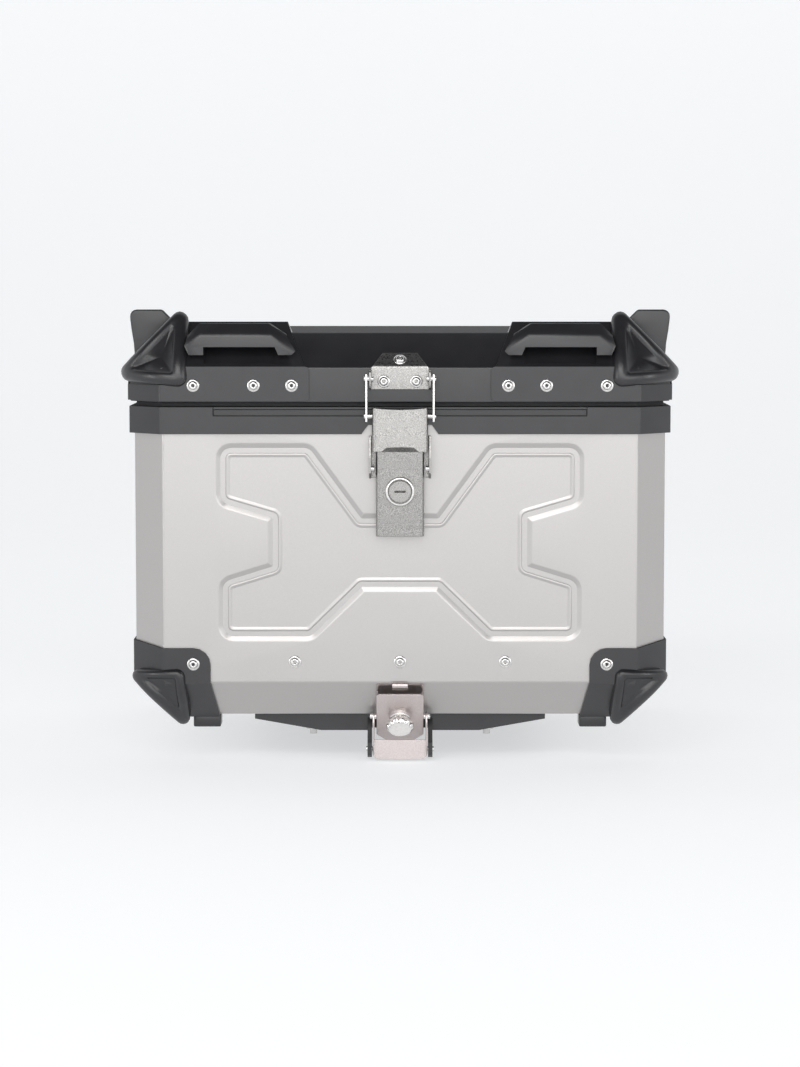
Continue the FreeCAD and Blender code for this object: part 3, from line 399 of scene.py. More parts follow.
def nickel_sheet():
    """Warm satin nickel."""
    material = principled("nickel_sheet", (0.62, 0.56, 0.55), 1, 0.38)
    fine = noise(material, 1600)
    vary_colour(material, spread(material, fine, *MOST, 0, 1), (0.56, 0.5, 0.49), (0.68, 0.62, 0.61))
    vary_roughness(material, spread(material, noise(material, 300), *MOST, 0.33, 0.43))
    grain(material, fine, 0.02, 0.15)
    return material


def polished(name, colour, roughness):
    """Plated or turned steel with faint smears."""
    material = principled(name, colour, 1, roughness)
    smear = noise(material, 500)
    vary_colour(material, spread(material, smear, *MOST, 0, 1), [0.92 * part for part in colour], colour)
    vary_roughness(material, spread(material, smear, *MOST, roughness * 0.8, roughness * 1.3))
    return material


def soft(name, colour, roughness):
    """Rubber or foam with an open grain."""
    material = principled(name, colour, 0, roughness)
    cells = noise(material, 700, 4)
    vary_colour(material, spread(material, cells, *MOST, 0, 1), [0.8 * part for part in colour], colour)
    grain(material, cells, 0.15, 0.4)
    return material


for imported in list(bpy.data.materials):
    bpy.data.materials.remove(imported)
MATERIALS = {made.name: made for made in (
    body_sheet(), black_moulding(), zinc_sheet(), nickel_sheet(),
    polished("bright_steel", (0.85, 0.84, 0.82), 0.14),
    polished("screw_steel", (0.72, 0.71, 0.7), 0.22),
    polished("black_steel", (0.04, 0.04, 0.042), 0.4),
    soft("seal_rubber", (0.02, 0.02, 0.022), 0.75),
    soft("mat_foam", (0.05, 0.05, 0.053), 0.9))}


def paint_cad_nodes():
    """Gives each CAD node its slot's material."""
    for part in frame["record"]["subparts"]:
        node = frame["nodes"][part["node"]]
        node.data.materials.clear()
        node.data.materials.append(MATERIALS[part["material_slot"]])


# Edge widths in millimetres of the CAD nodes that stay.
NODE_EDGES = {
    0.2: ("rack_washers", "release_cam", "lock_cam"),
    0.3: ("bail_link_left", "bail_link_right", "latch_base", "body_nuts", "front_brace"),
    0.4: ("lid_hinge_leaves", "rim_hinge_leaves", "catch_pins", "keeper_pins", "lever_pins", "hook_pins",
          "release_pins", "rack_nuts", "rack_bolts"),
    0.5: ("floor_lugs",),
    0.6: ("floor_mat",),
    0.8: ("mounting_plate", "lid_seal")}


def soften_cad_nodes():
    """Welds the CAD nodes that stay into closed meshes and rounds their edges."""
    for width, names in NODE_EDGES.items():
        for name in names:
            node = frame["nodes"][name]
            weld = node.modifiers.new("weld", "WELD")
            weld.merge_threshold = STEP * MM
            soften(node, width)


# ---- Case body ----

# The X's right half as (x, z), and its edge's profile as (distance outwards, depth).
PRESSED_HALF = [(31.2, 163.2), (70.5, 216.7), (132, 216.7), (132, 182), (92.5, 170.4), (92.5, 127.8),
                (130.5, 116), (130.5, 81), (69, 81), (30.5, 118.7)]
PRESSED_STEPS = [(7.8, 0), (6.6, 0.25), (4.2, 1.3), (1.9, 2.25), (1.1, 2.35), (0.5, 2.2), (-0.6, 1.1),
                 (-1.2, 0.9), (-1.9, 0.95), (-4.0, 1.7), (-5.8, 2.35), (-7.2, 2.5)]
PRESSED_RADIUS = 4.5


def body_skin():
    """Folded sheet body: sloping belly, eight walls with rounded folds, and an X pressed into the front."""
    shape = Shape()
    outer = bent([(-BELLY - 4, FLOOR), (-BELLY, FLOOR), (0, WAIST), (0, WALL_TOP)], 3)
    inner = [(-GAUGE, WALL_TOP), (-GAUGE, WAIST + 0.6), (-BELLY - 0.6, FLOOR + GAUGE)]
    outside = shape.loft([[(x, y, z) for x, y in octagon(grow)] for grow, z in outer], caps=(True, False))
    inside = shape.loft([[(x, y, z) for x, y in octagon(grow, 2)] for grow, z in inner], caps=(False, True))
    shape.band(outside[-1], inside[0])
    add_pressed_front(shape, outside[-2], outside[-1])
    piece("body_skin", shape, "body_sheet", "case", ["body_wall", "floor_pan"], angle=24)


def add_pressed_front(shape, low, high):
    """Opens the flat front between two rings of the wall and fills it with the pressed X."""
    left = FRONT_END - 1
    front = (low[left], low[left + 1], high[left + 1], high[left])
    shape.faces.remove(front)
    outline = [(-x, z) for x, z in PRESSED_HALF] + PRESSED_HALF[::-1]
    rings = []
    for distance, depth in PRESSED_STEPS:
        rings.append([(x, depth - HALF_D, z) for x, z in parallel(outline, distance, PRESSED_RADIUS)])
    made = shape.loft(rings, caps=(False, False))
    shape.sheet(list(front), made[0])
    shape.faces.append(tuple(made[-1]))


# ---- Sweeps round the case's plan ----

def plan_stations(first, last):
    """Places round the plan as functions of (grow, z), over a span of the rounded octagon's points."""
    return [lambda grow, z, index=index: (*octagon(grow)[index], z) for index in range(first, last)]


def front_station(x, lean=0.0, fold=0.0):
    """A place on the front at x. Below fold it leans inwards by lean for each millimetre."""
    return lambda grow, z: (x - lean * max(0, fold - z), -HALF_D - grow, z)


def side_station(y, lean=0.0, fold=0.0):
    """A place on the right side at y. Below fold it leans to the rear by lean for each millimetre."""
    return lambda grow, z: (HALF_W + grow, y + lean * max(0, fold - z), z)


def upper_rim():
    """Rim over the body's top edge, with a finger groove along the front and a cut-out for the latch."""
    low, top, out, back = 231, 251.3, 4, -4
    groove_low, groove_high, groove_deep, groove_half = 244.5, 249.7, 3.8, 141
    notch_half, notch_foot, notch_top = 24, 29, 238

    def section(bottom, groove):
        """Outer foot, groove under a set-back lip, top, inner wall and the channel over the sheet's edge."""
        lip = groove * 0.4
        return [(out, bottom), (out, groove_low), (out - groove, groove_low + 0.4),
                (out - groove, groove_high - 0.4), (out - lip, groove_high), (out - lip, top), (back, top),
                (back, notch_top), (-GAUGE, notch_top), (-GAUGE, WALL_TOP), (0, WALL_TOP), (0, bottom)]

    half = [(notch_half, notch_top, groove_deep), (notch_foot, low, groove_deep),
            (groove_half - 0.5, low, groove_deep), (groove_half, low, 0)]
    front = [(-x, bottom, groove) for x, bottom, groove in reversed(half)] + half
    shape = Shape()
    around = [(place, section(low, 0)) for place in plan_stations(0, PLAN_END)]
    along = [(front_station(x), section(bottom, groove)) for x, bottom, groove in front]
    stations = around[:FRONT_END] + along + around[FRONT_END:]
    rings = [shape.ring([place(grow, z) for grow, z in profile]) for place, profile in stations]
    for here, after in zip(rings, rings[1:] + rings[:1]):
        shape.band(here, after)
    piece("rim", shape, "black_moulding", "case", ["upper_rim"], bevel=0.9)


def lid():
    """Lid moulding with softly rounded bends."""
    shape = Shape()
    flat = LID_OUT - LID_SLOPE
    outer = bent([(LID_OUT, LID_LOW), (LID_OUT, LID_BAND), (flat, LID_TOP), (flat - 6, LID_TOP)], 2.5)
    inner_out, ceiling = LID_OUT - LID_WALL, LID_TOP - LID_WALL
    inner = [(inner_out - LID_SLOPE - 6, ceiling), (inner_out - LID_SLOPE + 1, ceiling),
             (inner_out, LID_BAND - 1), (inner_out, LID_LOW)]
    rings = shape.loft([[(x, y, z) for x, y in octagon(grow)] for grow, z in outer], caps=(False, True))
    inside = shape.loft([[(x, y, z) for x, y in octagon(grow)] for grow, z in inner], caps=(True, False))
    shape.band(inside[-1], rings[0])
    piece("lid", shape, "black_moulding", "lid", ["lid_shell"], bevel=0.5)


# ---- Guards ----

def sweep(shape, stations):
    """A solid through stations, each a place and its closed section of (grow, z)."""
    shape.loft([[place(grow, z) for grow, z in section] for place, section in stations])


def rounded_end(start, radius, low, high, place, steps=3):
    """(place, low, high) at the first stations of a leg whose end is rounded."""
    ends = []
    for step in range(steps + 1):
        turn = math.pi / 2 * step / steps
        rise = radius * (1 - math.sin(turn))
        ends.append((place(start + radius * (1 - math.cos(turn))), low + rise, high - rise))
    return ends


# Where the bumpers start to curve round the corner and how tightly, and how steeply and gently they lean.
WRAP_START, WRAP_RADIUS = 168, 46
LEAN_EASE, LEAN = 18, 0.75


def wrapped(face, fold, side):
    """A surface over the corner: it follows the front at face and curves round to the side of the case.

    Past fold it eases into a lean towards the case, above it for side 1 and below it for side -1."""
    def place(x, z):
        out = min(max(0, x - WRAP_START), WRAP_RADIUS - 0.5)
        past = max(0, (z - fold) * side)
        eased = min(past, LEAN_EASE)
        back = LEAN * (eased ** 2 / (2 * LEAN_EASE) + past - eased)
        return Vector((x, -face + WRAP_RADIUS - math.sqrt(WRAP_RADIUS ** 2 - out ** 2) + back, z))
    return place


def hull(grow, fold, side, reach):
    """The y of the moulding or sheet that a front corner's bumper stands on, past fold on its slope."""
    def place(x, z):
        out = grow - min(reach, max(0, (z - fold) * side))
        return -min(HALF_D + out, HALF_W + HALF_D - CORNER + math.sqrt(2) * out - x)
    return place


def bumper(shape, tips, widths, surface, behind, roll=5.5, dish=2.5, round_tip=6.5):
    """Three-sided shield on a surface, with a rounded frame round a dished face, its back just inside behind.

    tips are (x, z) of its side, upper and front corners. widths are the frame's, for the edge after each."""
    tips = [Vector(tip) for tip in tips]
    middle = (tips[0] + tips[1] + tips[2]) / 3
    forwards = (tips[1] - tips[0]).cross(tips[2] - tips[0]) > 0
    order = [0, 1, 2] if forwards else [0, 2, 1]
    frames = widths if forwards else [widths[2], widths[1], widths[0]]
    parts = 6

    def normal(x, z):
        across = surface(x + 0.5, z) - surface(x - 0.5, z)
        up = surface(x, z + 0.5) - surface(x, z - 0.5)
        return across.cross(up).normalized()

    def ring(share, height, radius):
        """The triangle moved inwards by a share of each frame width, at a height over the surface.

        Each rounded tip and each straight edge between two tips has as many parts."""
        lines = []
        for place, corner in enumerate(order):
            run = (tips[order[(place + 1) % 3]] - tips[corner]).normalized()
            lines.append((tips[corner] + Vector((-run.y, run.x)) * frames[place] * share, run))
        corners = []
        for place in range(3):
            (a, run_a), (b, run_b) = lines[place - 1], lines[place]
            corners.append(a + run_a * ((b - a).cross(run_b) / run_a.cross(run_b)))
        smooth = rounded(corners, radius, parts)
        dense = []
        for index, (here, after) in enumerate(zip(smooth, smooth[1:] + smooth[:1])):
            straight = index % (parts + 1) == parts
            dense += [here.lerp(after, step / parts) for step in range(parts)] if straight else [here]
        return [surface(*point) + normal(*point) * height for point in dense]

    sunk = 0.6
    profile = [(0, -roll * sunk, round_tip)]
    for step in range(1, 6):
        turn = math.pi / 2 * step / 5
        profile.append((0.5 * (1 - math.cos(turn)), roll * (math.sin(turn) - sunk), round_tip - 0.7 * step))
    profile += [(0.62, roll * 0.4, 2.8), (0.8, roll * 0.32, 2.3), (0.88, roll * 0.2, 2.1), (0.96, 0.0, 1.9),
                (1.0, -0.6, 1.7)]
    rings = [ring(*level) for level in profile]
    deepest, bite = 12, 1
    back = [(x, min(y + deepest, behind(x, z) + bite), z) for x, y, z in rings[0]]
    made = shape.loft([back] + rings, caps=(True, False))
    shape.fan(made[-1], surface(*middle) - normal(*middle) * dish)


def foot_block(shape):
    """The foot under a body guard, which the case stands on when it is off its plate."""
    x_low, x_high, y_low, y_high, z_low, z_high = 137.8, 158.8, -144.5, -123.5, 4, FLOOR + 1
    shape.prism(box(x_low, y_low, x_high, y_high, 1.5), lambda x, y, z: (x, y, z), z_low, z_high, 1)


def body_guard():
    """Guard on the body's front right lower corner."""
    high, corner_rise, low_turn, under = 68.4, 4, WAIST - GUARD * BEND_SHIFT, FLOOR - GUARD
    drop = low_turn - under
    front_end, side_end, end_radius, end_lean = 143.7, 114.2, 12.7, 5.2 / 27
    bumper_face, bumper_fold = 176.8, 46

    def section(top):
        """Down the outside of the wall, round the waist and under the belly, and back up along the sheet."""
        return [(GUARD, top), (GUARD, low_turn), (GUARD - drop, under), (GUARD - drop - 3, under),
                (-BELLY - 2, FLOOR), (-BELLY, FLOOR), (0, WAIST), (0, top)]

    def short(top):
        """The section across the corner, which ends behind the bumper."""
        return [(GUARD, top), (GUARD, bumper_fold), (-1, 44), (-1.5, 43), (-2, 42.5), (-2, 43.5),
                (0, bumper_fold), (0, top)]

    def leg_end(start, top, station):
        ends = rounded_end(start, end_radius, 0, top, station, 4)
        return [(place, section(height)) for place, _, height in ends]

    shape = Shape()
    stations = leg_end(front_end, high, lambda x: front_station(x, end_lean, low_turn))
    corner = plan_stations(FRONT_END, PLAN_END)
    for index, place in enumerate(corner):
        across = 0 < index < len(corner) - 1
        top = high + (corner_rise if index >= CORNER_POINTS else 0)
        stations.append((place, short(top) if across else section(top)))
    stations += leg_end(side_end, high + corner_rise, lambda y: side_station(-y, end_lean, low_turn))[::-1]
    sweep(shape, stations)
    foot_block(shape)
    bumper(shape, [(213, 51), (159, -3), (163.5, 53)], [9, 8, 7], wrapped(bumper_face, bumper_fold, -1),
           hull(0, WAIST, -1, BELLY), roll=4.5, dish=1.5)
    return shape


def grab_handle(shape):
    """Bar over the lid's slope: a flat front, a bevel along its top, and a roof that runs back to the block.

    Each outline is (x, z) from the inner foot over the top to the outer foot, and back round the opening."""
    foot, back = HANDLE_FOOT, -143
    inside = [(GRIP_OUT, foot), (GRIP_OUT, HANDLE_UNDER), (GRIP_IN, HANDLE_UNDER), (GRIP_IN - 2.7, foot)]
    front = [(83.5, foot), (82.5, 292.6), (97.6, 304), (149.6, 304), (158.6, 296.2), (156.5, foot)] + inside
    edge = [(81.5, foot), (78.6, 293.4), (96, 307), (151, 307), (162, 297.2), (159, foot)] + inside
    roof = [(84, 291), (86, 306), (98.9, 314), (151.4, 314), (160, 305), (159, 291)] + inside
    levels = [(-177.2, front), (-176.1, edge), (-169.5, roof)]
    in_lid = -HALF_D - LID_OUT - LID_BAND + 1.5
    shape.loft([[(x, y, z) for x, z in outline] for y, outline in levels]
               + [[(x, min(back, z + in_lid), z) for x, z in roof]])


def grab_block(shape):
    """Raised block over the lid's slope, set back behind the grip opening."""
    foot, lip, top, set_back, in_lid = 283.5, 298, 315, 3.4, LID_TOP - 1
    slope = -HALF_D - LID_OUT - GUARD - LID_BAND

    def section(x, back, lean=0.0):
        """(x, y, z) round the block at x. Its foot and lip are set back by back from the slope."""
        run = [(slope + foot + 0.8 + back, foot), (slope + lip + 0.8 + back, lip), (slope + top - 0.4, top),
               (-137, top), (-131, in_lid), (-149.5, in_lid), (slope + foot + 3, foot)]
        return [(x + lean * (z - LID_BAND), y, z) for y, z in run]

    shape.loft([section(71.9, 0, 0.4), section(GRIP_IN, 0), section(GRIP_IN + STEP, set_back),
                section(GRIP_OUT - STEP, set_back), section(GRIP_OUT, 0), section(162, 0)])


def ear(shape):
    """Upright fin beside the bumper."""
    front, back, edge = -119, -112, 1.4
    outline = [(203.8, 280.6), (205, 298), (206.6, 308), (207.6, 316), (208, 324), (183, 324), (176, 317),
               (176.5, 307)]
    radii = [2.4, 12, 20, 20, 5, 4, 2.4, 2.4]
    shape.prism(rounded(outline, radii), lambda x, z, y: (x, y, z), back, front, edge, 3)


def lid_guard_leg(shape, inner, slanted):
    """Cover over the lid's front right corner, from x inner on. A slanted end follows the grab block's."""
    out, inside, low = LID_OUT + GUARD, LID_OUT - 1, 256
    bend, top = LID_BAND + GUARD * BEND_SHIFT, LID_TOP + 1.6
    opening, trimmed, end_radius, side_end = 284, 268, 3, 102.5

    def section(bottom, high):
        """From the outer foot up the band and the slope to high, and back along the lid."""
        band_top = min(bend, high)
        rise = high - band_top
        return [(out, bottom), (out, band_top), (out - rise, high),
                (inside - rise, high), (inside, band_top - 1), (inside, bottom)]

    def leg_end(start, high, station):
        ends = rounded_end(start, end_radius, low, high, station)
        return [(place, section(bottom, height)) for place, bottom, height in ends]

    stations = leg_end(inner, bend if slanted else top, front_station)
    fronts = [(163, top), (WRAP_START, trimmed)]
    if slanted:
        fronts = [(inner + 4, bend + 1.2), (83, top), (GRIP_IN, top), (GRIP_IN + STEP, opening),
                  (GRIP_OUT - STEP, opening), (GRIP_OUT, top)] + fronts
    stations += [(front_station(x), section(low, high)) for x, high in fronts]
    stations += [(place, section(low, trimmed)) for place in plan_stations(FRONT_END, PLAN_END)]
    stations += [(side_station(-148), section(low, trimmed)), (side_station(-140), section(low, top))]
    stations += leg_end(side_end, top, lambda y: side_station(-y))[::-1]
    sweep(shape, stations)


def lid_bumper(shape, tips, widths, round_tip):
    """A bumper on a lid guard, which leans back above the guard's screws."""
    face, fold = 179.8, 272
    behind = hull(LID_OUT, LID_BAND, 1, LID_SLOPE)
    bumper(shape, tips, widths, wrapped(face, fold, 1), behind, round_tip=round_tip)


def front_lid_guard():
    """Guard with a grab handle, an ear and a large bumper."""
    shape = Shape()
    lid_guard_leg(shape, 68.5, slanted=True)
    grab_block(shape)
    grab_handle(shape)
    ear(shape)
    lid_bumper(shape, [(221.5, 271), (160, 334), (160, 266)], [7.5, 12, 11], 7.5)
    return shape


def rear_lid_guard():
    """Guard with a smaller bumper, made at the front and mirrored to the rear."""
    shape = Shape()
    lid_guard_leg(shape, 132, slanted=False)
    lid_bumper(shape, [(217, 262), (168, 315), (162, 262)], [7.5, 11, 10], 6.5)
    return shape


def guards():
    """The eight guards, each mirrored from the front right corner."""
    kinds = {"body_guard": ("case", body_guard(), body_guard()),
             "lid_guard": ("lid", front_lid_guard(), rear_lid_guard())}
    for kind, (body, front, rear) in kinds.items():
        for end, shape, sign_y in (("front", front, 1), ("rear", rear, -1)):
            for side, sign_x in (("right", 1), ("left", -1)):
                node = f"{kind}_{end}_{side}"
                piece("guard_" + node, shape.mirrored(sign_x, sign_y, 1), "black_moulding", body, [node],
                      bevel=0.55)


# ---- Screws ----

def hexagon(angle, radius, height):
    """Pulls the innermost rings of a screw head's socket onto a hexagon."""
    socket, half_side = 1.5, math.pi / 6
    if radius > socket:
        return radius
    return radius * math.cos(half_side) / math.cos(angle % (2 * half_side) - half_side)


def button_head(shape, centre, axis):
    """A flanged button head with a hexagon socket, from the face it sits on."""
    profile = [(4.4, -0.2), (4.75, 0.1), (4.75, 0.6), (4.4, 0.95), (3.75, 1.1), (3.55, 0.95), (3.4, 1.1),
               (3.2, 1.7), (2.7, 2.25), (2.1, 2.5), (1.6, 2.5), (1.45, 2.3), (1.4, 0.2), (0.1, -1.0)]
    shape.turn(profile, centre, axis, 36, hexagon)


def screws():
    """Every visible button-head screw, one piece for each of their nodes."""
    wall, guard_face, lid_face = -HALF_D, HALF_D + GUARD, HALF_D + LID_OUT
    lid_guard_face, flap = lid_face + GUARD, FLAP_HIGH / 2
    to_front, to_rear = (0, -1, 0), (0, 1, 0)
    row_x, row_z = BODY_SCREW
    guard_x, guard_z = GUARD_SCREW
    keeper_x, keeper_z = KEEPER_SCREW
    end_x = LID_SCREWS_X[0]
    rows = {
        "body_screws": ("case", [((x, wall, row_z), to_front) for x in (-row_x, 0, row_x)]),
        "body_guard_screws": ("case", [((x, sign * guard_face, guard_z), (0, sign, 0))
                                       for x in (-guard_x, guard_x) for sign in (-1, 1)]),
        "lid_guard_screws": ("lid", [((side * x, -lid_guard_face, LID_SCREW_Z), to_front)
                                     for side in (-1, 1) for x in LID_SCREWS_X]
                             + [((x, lid_guard_face, LID_SCREW_Z), to_rear) for x in (-end_x, end_x)]),
        "keeper_screws": ("lid", [((x, -lid_face - GAUGE, keeper_z), to_front) for x in (-keeper_x, keeper_x)]
                          + [((0, -lid_face + flap - FLAP_SHEET, LID_BAND + flap + FLAP_SHEET), (0, -1, 1))])}
    for node, (body, places) in rows.items():
        shape = Shape()
        for centre, axis in places:
            button_head(shape, centre, axis)
        piece("heads_" + node, shape, "screw_steel", body, [node], angle=40)


# ---- Upper latch ----

def channel(shape, half, front, back, low, high, bow=0.0, notch=None, tilt=0.0, corner=0.0):
    """A sheet channel open towards the case, with rounded folds, a bowed top edge and a notch in its foot.

    tilt leans it back with height (forwards if negative), and corner rounds the two ends of its foot."""
    notch_half, ramp = 14, 4
    marks = [-half / 2, 0, half / 2]
    if notch:
        marks = [-notch_half, ramp - notch_half, 0, notch_half - ramp, notch_half]
    line = bent([(-half, back), (-half, front), (half, front), (half, back)], 3, 5)
    middle = next(index for index, point in enumerate(line) if point.x > 0)
    line = line[:middle] + [Vector((mark, front)) for mark in marks] + line[middle:]
    outline = ribbon(line, GAUGE)

    def foot(x):
        """Height of the lower edge."""
        past = max(0, abs(x) - (half - corner))
        if past:
            return low + corner - math.sqrt(max(0, corner ** 2 - past ** 2))
        if not notch or abs(x) > notch_half:
            return low
        return low + notch * min(1, (notch_half - abs(x)) / ramp)

    def head(x):
        """Height of the upper edge."""
        return high - bow * (1 - (x / half) ** 2)

    def level(height):
        """The outline at an edge's height, moved by the lean there."""
        lean = (height(0) - (low if tilt > 0 else high)) * tilt
        return [(x, y + lean, height(x)) for x, y in outline]

    shape.loft([level(foot), level(lambda x: foot(x) + 1), level(lambda x: head(x) - 1), level(head)])


def keeper():
    """Keeper folded from sheet: a front plate, a tapered flap over the slope, and two cheeks."""
    shape = Shape()
    face = -HALF_D - LID_OUT
    low, fold = KEEPER_LOW, LID_BAND + 0.4
    line = bent([(face, low), (face, fold), (face + FLAP_HIGH, fold + FLAP_HIGH)], 2.5, 4)

    def half(z):
        """Half the width at a height: the flap tapers."""
        return KEEPER_HALF - 8.7 * min(1, max(0, z - LID_BAND) / FLAP_HIGH)

    profile = ribbon(line, GAUGE)
    shape.loft([[(share * half(z), y, z) for y, z in profile] for share in (-1, -0.5, 0, 0.5, 1)])
    front, top = face - 12, 279.6
    corners = [(face, low), (face, top), (front, top), (front, low + 1.7), (front + 4, low)]
    cheek = rounded(corners, [0.5, 2, 3, 3, 3])
    for side in (-1, 1):
        shape.prism(cheek, lambda y, z, x: (x, y, z), side * KEEPER_HALF, side * (KEEPER_HALF + GAUGE), 0.3)
    piece("keeper", shape, "zinc_sheet", "lid", ["keeper_bracket"], bevel=0.3)


def lever():
    """The lever's wide cover and the narrow plate with the lock."""
    cover = Shape()
    channel(cover, 21, COVER_FACE, LEVER_BACK, 218.3, 251.3, bow=1.4, notch=3.4, tilt=0.036)
    piece("lever_cover", cover, "zinc_sheet", "lever", ["latch_cover"], bevel=0.35)
    plate = Shape()
    channel(plate, 18, LOCK_FACE, LEVER_BACK, 154.4, 236, tilt=-0.03)
    piece("lever_plate", plate, "zinc_sheet", "lever", ["lock_plate"], bevel=0.35)


def key_lock():
    """Polished bezel, and a plug whose face is cut by the keyhole."""
    centre = (0, LOCK_FACE, LOCK_Z)
    outwards = (0, -1, 0)
    bezel = Shape()
    bezel.turn([(9.4, -2), (11.2, -0.1), (11.2, 1.6), (10.8, 2.5), (10.2, 2.95), (9.5, 3), (8.95, 2.6),
                (8.8, 1.5), (8.8, -2)], centre, outwards, 64)
    piece("bezel", bezel, "bright_steel", "lever", ["lock_bezel"], angle=30)

    plug = Shape()
    front, slot_half, slot_high = 3.4, 4.35, 0.75
    rings = plug.turn([(8.7, -2), (8.7, 2.6), (8.4, 3.1), (7.9, front)], centre, outwards, 64)
    plug.faces.pop()
    slot = box(-slot_half, -slot_high, slot_half, slot_high, 0.5, 2)
    walls = plug.loft([[(x * share, LOCK_FACE - out, LOCK_Z + z * share) for x, z in slot]
                       for out, share in ((front, 1), (0.5, 0.95), (-1.8, 0.2))], caps=(False, True))
    plug.sheet(rings[-1], walls[0])
    piece("plug", plug, "zinc_sheet", "key", ["key_plug"], angle=30)


# ---- Lower latch, on the front belly slope ----

# The middle of the slope, its directions, and how far the knob's plate stands out from it.
SLOPE_MIDDLE = Vector((0, -HALF_D + BELLY / 2, FLOOR + BELLY / 2))
SLOPE_UP = Vector((0, -1, 1)) / math.sqrt(2)
SLOPE_OUT = Vector((0, -1, -1)) / math.sqrt(2)
PLATE_FACE = 9


def on_slope(x, up, out):
    """A point on the belly slope's own axes."""
    return Vector((x, 0, 0)) + SLOPE_MIDDLE + SLOPE_UP * up + SLOPE_OUT * out


def release_plate():
    """Plate with folded sides and cut lower corners."""
    shape = Shape()
    half, cut, top, foot = 18, 7, 16.2, -41.5
    outline = [(-half, top), (-half, foot + cut), (cut - half, foot),
               (half - cut, foot), (half, foot + cut), (half, top)]
    shape.prism(rounded(outline, [2.5, 2, 2, 2, 2, 2.5]), on_slope, PLATE_FACE - GAUGE, PLATE_FACE, 0.5)
    flange = box(-18.5, 3, 14.2, 8.4, 1.5)
    for side in (-1, 1):
        first = side * (half - 0.8) - GAUGE / 2
        shape.prism(flange, lambda up, out, x: on_slope(x, up, out), first, first + GAUGE, 0.3)
    piece("knob_plate", shape, "nickel_sheet", "release", ["release_plate"], angle=40)


def knob():
    """Seat ring, and a knob with twelve flutes and a plain face."""
    centre = on_slope(0, -12.8, PLATE_FACE)
    seat = Shape()
    seat.turn([(4.1, 0), (8, 0), (8, 1.4), (7.6, 1.9), (7, 2), (4.1, 2)], centre, SLOPE_OUT, 64)
    piece("knob_seat", seat, "bright_steel", "release", ["knob_ring"], angle=30)

    neck, face, flutes, flute_deep = 3.2, 11, 12, 1.3

    def fluted(angle, radius, height):
        """Flutes between the neck and the face."""
        if not neck < height < face:
            return radius
        return radius - flute_deep * max(0.0, math.cos(flutes * angle)) ** 1.5

    body = Shape()
    body.turn([(6.4, 2.2), (6.9, 2.5), (7.6, neck), (8.6, 4.1), (9.8, 5.6), (10.5, 7.0), (10.6, 8.0),
               (10.2, 9.2), (9.4, 10.3), (8.7, face), (8.4, 11.2), (8.1, 11.15), (7.9, 11.0), (7.7, 11.1),
               (0.3, 11.1)], centre, SLOPE_OUT, 144, fluted)
    piece("knob_body", body, "bright_steel", "knob", ["release_knob"], angle=30)


def wear_plate():
    """Plate on the belly slope with two slots, a window, and a tab curled out above it."""
    shape = Shape()
    half, half_high, tab = 17.4, 19, 5.9
    slot, slot_foot, slot_top = 3.4, -8, 17
    window_foot, window_top, hole_radius = 12.5, 15.5, 0.6
    outline = box(-half, -half_high, half, half_high, 1.5)
    holes = [box(x, slot_foot, x + slot, slot_top, hole_radius) for x in (-16, 12.6)]
    holes.append(box(-tab, window_foot, tab, window_top, hole_radius))
    levels = []
    for out in (0, GAUGE):
        levels.append([shape.ring([on_slope(x, up, out) for x, up in loop]) for loop in [outline] + holes])
        shape.sheet(*levels[-1])
    for low, high in zip(*levels):
        shape.band(low, high)
    curl_centre, curl_radius = Vector((20.4, 3)), 2.3
    turns = [math.radians(-135 + 20 * step) for step in range(15)]
    curl = [curl_centre + curl_radius * Vector((math.cos(turn), math.sin(turn))) for turn in turns]
    shape.loft([[on_slope(x, up, out) for up, out in ribbon(curl, 1)] for x in (-tab, tab)])
    piece("wear_plate", shape, "nickel_sheet", "case", ["release_back_plate"], bevel=0.25)


def base_catch():
    """Catch bent from one strip: an upright front folded into two side arms that reach up to the plate."""
    shape = Shape()
    half = 21
    channel(shape, half, -151.5, -137.5, -20, -5, corner=4)
    corners = [(-156.5, 16), (-157.5, 8), (-151.4, -5), (-150, -12),
               (-138.5, -12), (-138.5, -9), (-143.5, -2), (-148, 16)]
    arm = rounded(corners, [3, 5, 3, 1, 1, 1, 4, 3])
    for side in (-1, 1):
        shape.prism(arm, lambda y, z, x: (x, y, z), side * half, side * (half - GAUGE), 0.3)
    piece("catch_strip", shape, "nickel_sheet", "catch", ["base_catch"], bevel=0.3)


# ---- Stage: floor, lights, camera ----

def make_camera():
    """Camera at the viewing angle of the product picture: level with the lid and square to the latch side."""
    lens, place, aim = 102.3, Vector((0.0, -2.457, 0.350)), Vector((0.0, 0.0, 0.141))
    data = bpy.data.cameras.new("camera")
    camera = bpy.data.objects.new("camera", data)
    bpy.context.scene.collection.objects.link(camera)
    data.sensor_fit = "AUTO"
    data.sensor_width = 36
    data.lens = lens
    data.clip_end = 50
    camera.location = place
    camera.rotation_euler = (aim - place).to_track_quat("-Z", "Y").to_euler()
    bpy.context.scene.camera = camera


# Soft lights: name, place and target in metres, width and height, power in watts.
LIGHTS = [
    ("key", (-0.5, -2.6, 1.9), (0, 0, 0.15), (2.4, 0.9), 26),
    ("front", (0.2, -3.6, 0.9), (0, 0, 0.2), (4.0, 1.6), 31),
    ("left_strip", (-2.2, -1.7, 0.5), (0, 0, 0.2), (0.5, 1.6), 10),
    ("right_strip", (2.2, -1.7, 0.5), (0, 0, 0.2), (0.5, 1.6), 10)]


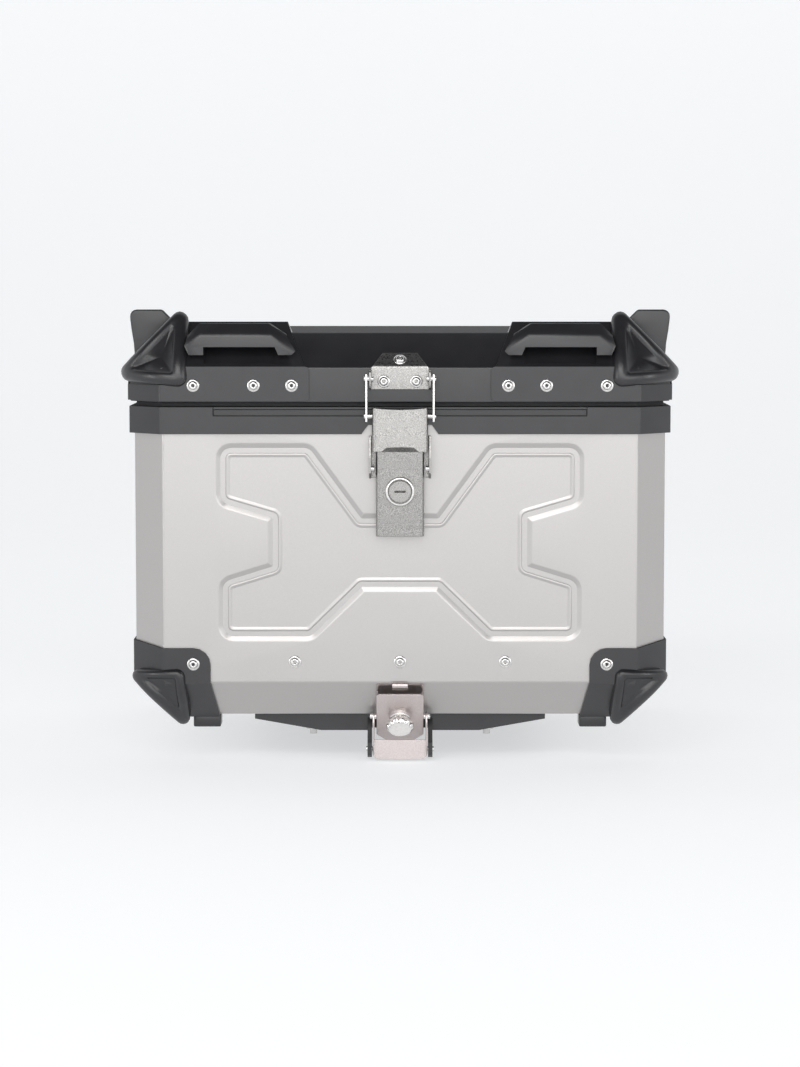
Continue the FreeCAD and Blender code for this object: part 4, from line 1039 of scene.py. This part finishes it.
def soft_light(name, place, target, size, power):
    """A white rectangular lamp that faces its target."""
    data = bpy.data.lights.new(name, "AREA")
    data.shape = "RECTANGLE"
    data.size, data.size_y = size
    data.energy = power
    light = bpy.data.objects.new(name, data)
    light.location = place
    light.rotation_euler = (Vector(target) - Vector(place)).to_track_quat("-Z", "Y").to_euler()
    bpy.context.scene.collection.objects.link(light)


def make_stage():
    """A pale sheet that lies just below the case and curves up behind it, and glows a little."""
    gap, far, back, bend, steps = 0.002, 12, 1.5, 1.5, 16
    low = cad_box[0].z - gap
    line = [(-far, low), (back, low)]
    for step in range(1, steps + 1):
        turn = math.pi / 2 * step / steps
        line.append((back + bend * math.sin(turn), low + bend * (1 - math.cos(turn))))
    line.append((back + bend, far))
    mesh = bpy.data.meshes.new("floor")
    points = [(x, y, z) for y, z in line for x in (-far, far)]
    starts = range(0, 2 * len(line) - 2, 2)
    mesh.from_pydata(points, [], [(start, start + 1, start + 3, start + 2) for start in starts])
    mesh.shade_smooth()
    floor = bpy.data.objects.new("floor", mesh)
    bpy.context.scene.collection.objects.link(floor)
    paper = principled("floor", (0.5, 0.505, 0.51), 0, 0.9)
    shader = paper.node_tree.nodes["Principled BSDF"]
    shader.inputs["Emission Color"].default_value = (0.97, 0.985, 1, 1)
    shader.inputs["Emission Strength"].default_value = 0.56
    mesh.materials.append(paper)


def make_surroundings():
    """A studio that is bright at eye level and dim overhead."""
    world = bpy.data.worlds.new("studio")
    bpy.context.scene.world = world
    world.use_nodes = True
    nodes, links = world.node_tree.nodes, world.node_tree.links
    place = nodes.new("ShaderNodeTexCoord")
    split = nodes.new("ShaderNodeSeparateXYZ")
    ramp = nodes.new("ShaderNodeValToRGB")
    links.new(place.outputs["Generated"], split.inputs["Vector"])
    links.new(split.outputs["Z"], ramp.inputs["Fac"])
    low, high = ramp.color_ramp.elements
    low.position = 0.15
    low.color = (0.95, 0.96, 0.97, 1)
    high.position = 0.65
    high.color = (0.05, 0.05, 0.055, 1)
    background = nodes["Background"]
    links.new(ramp.outputs["Color"], background.inputs["Color"])
    background.inputs["Strength"].default_value = 1.1


bpy.context.scene.view_settings.view_transform = "Standard"
paint_cad_nodes()
soften_cad_nodes()
body_skin()
upper_rim()
lid()
guards()
screws()
keeper()
lever()
key_lock()
release_plate()
knob()
wear_plate()
base_catch()
make_camera()
make_stage()
make_surroundings()
for light in LIGHTS:
    soft_light(*light)
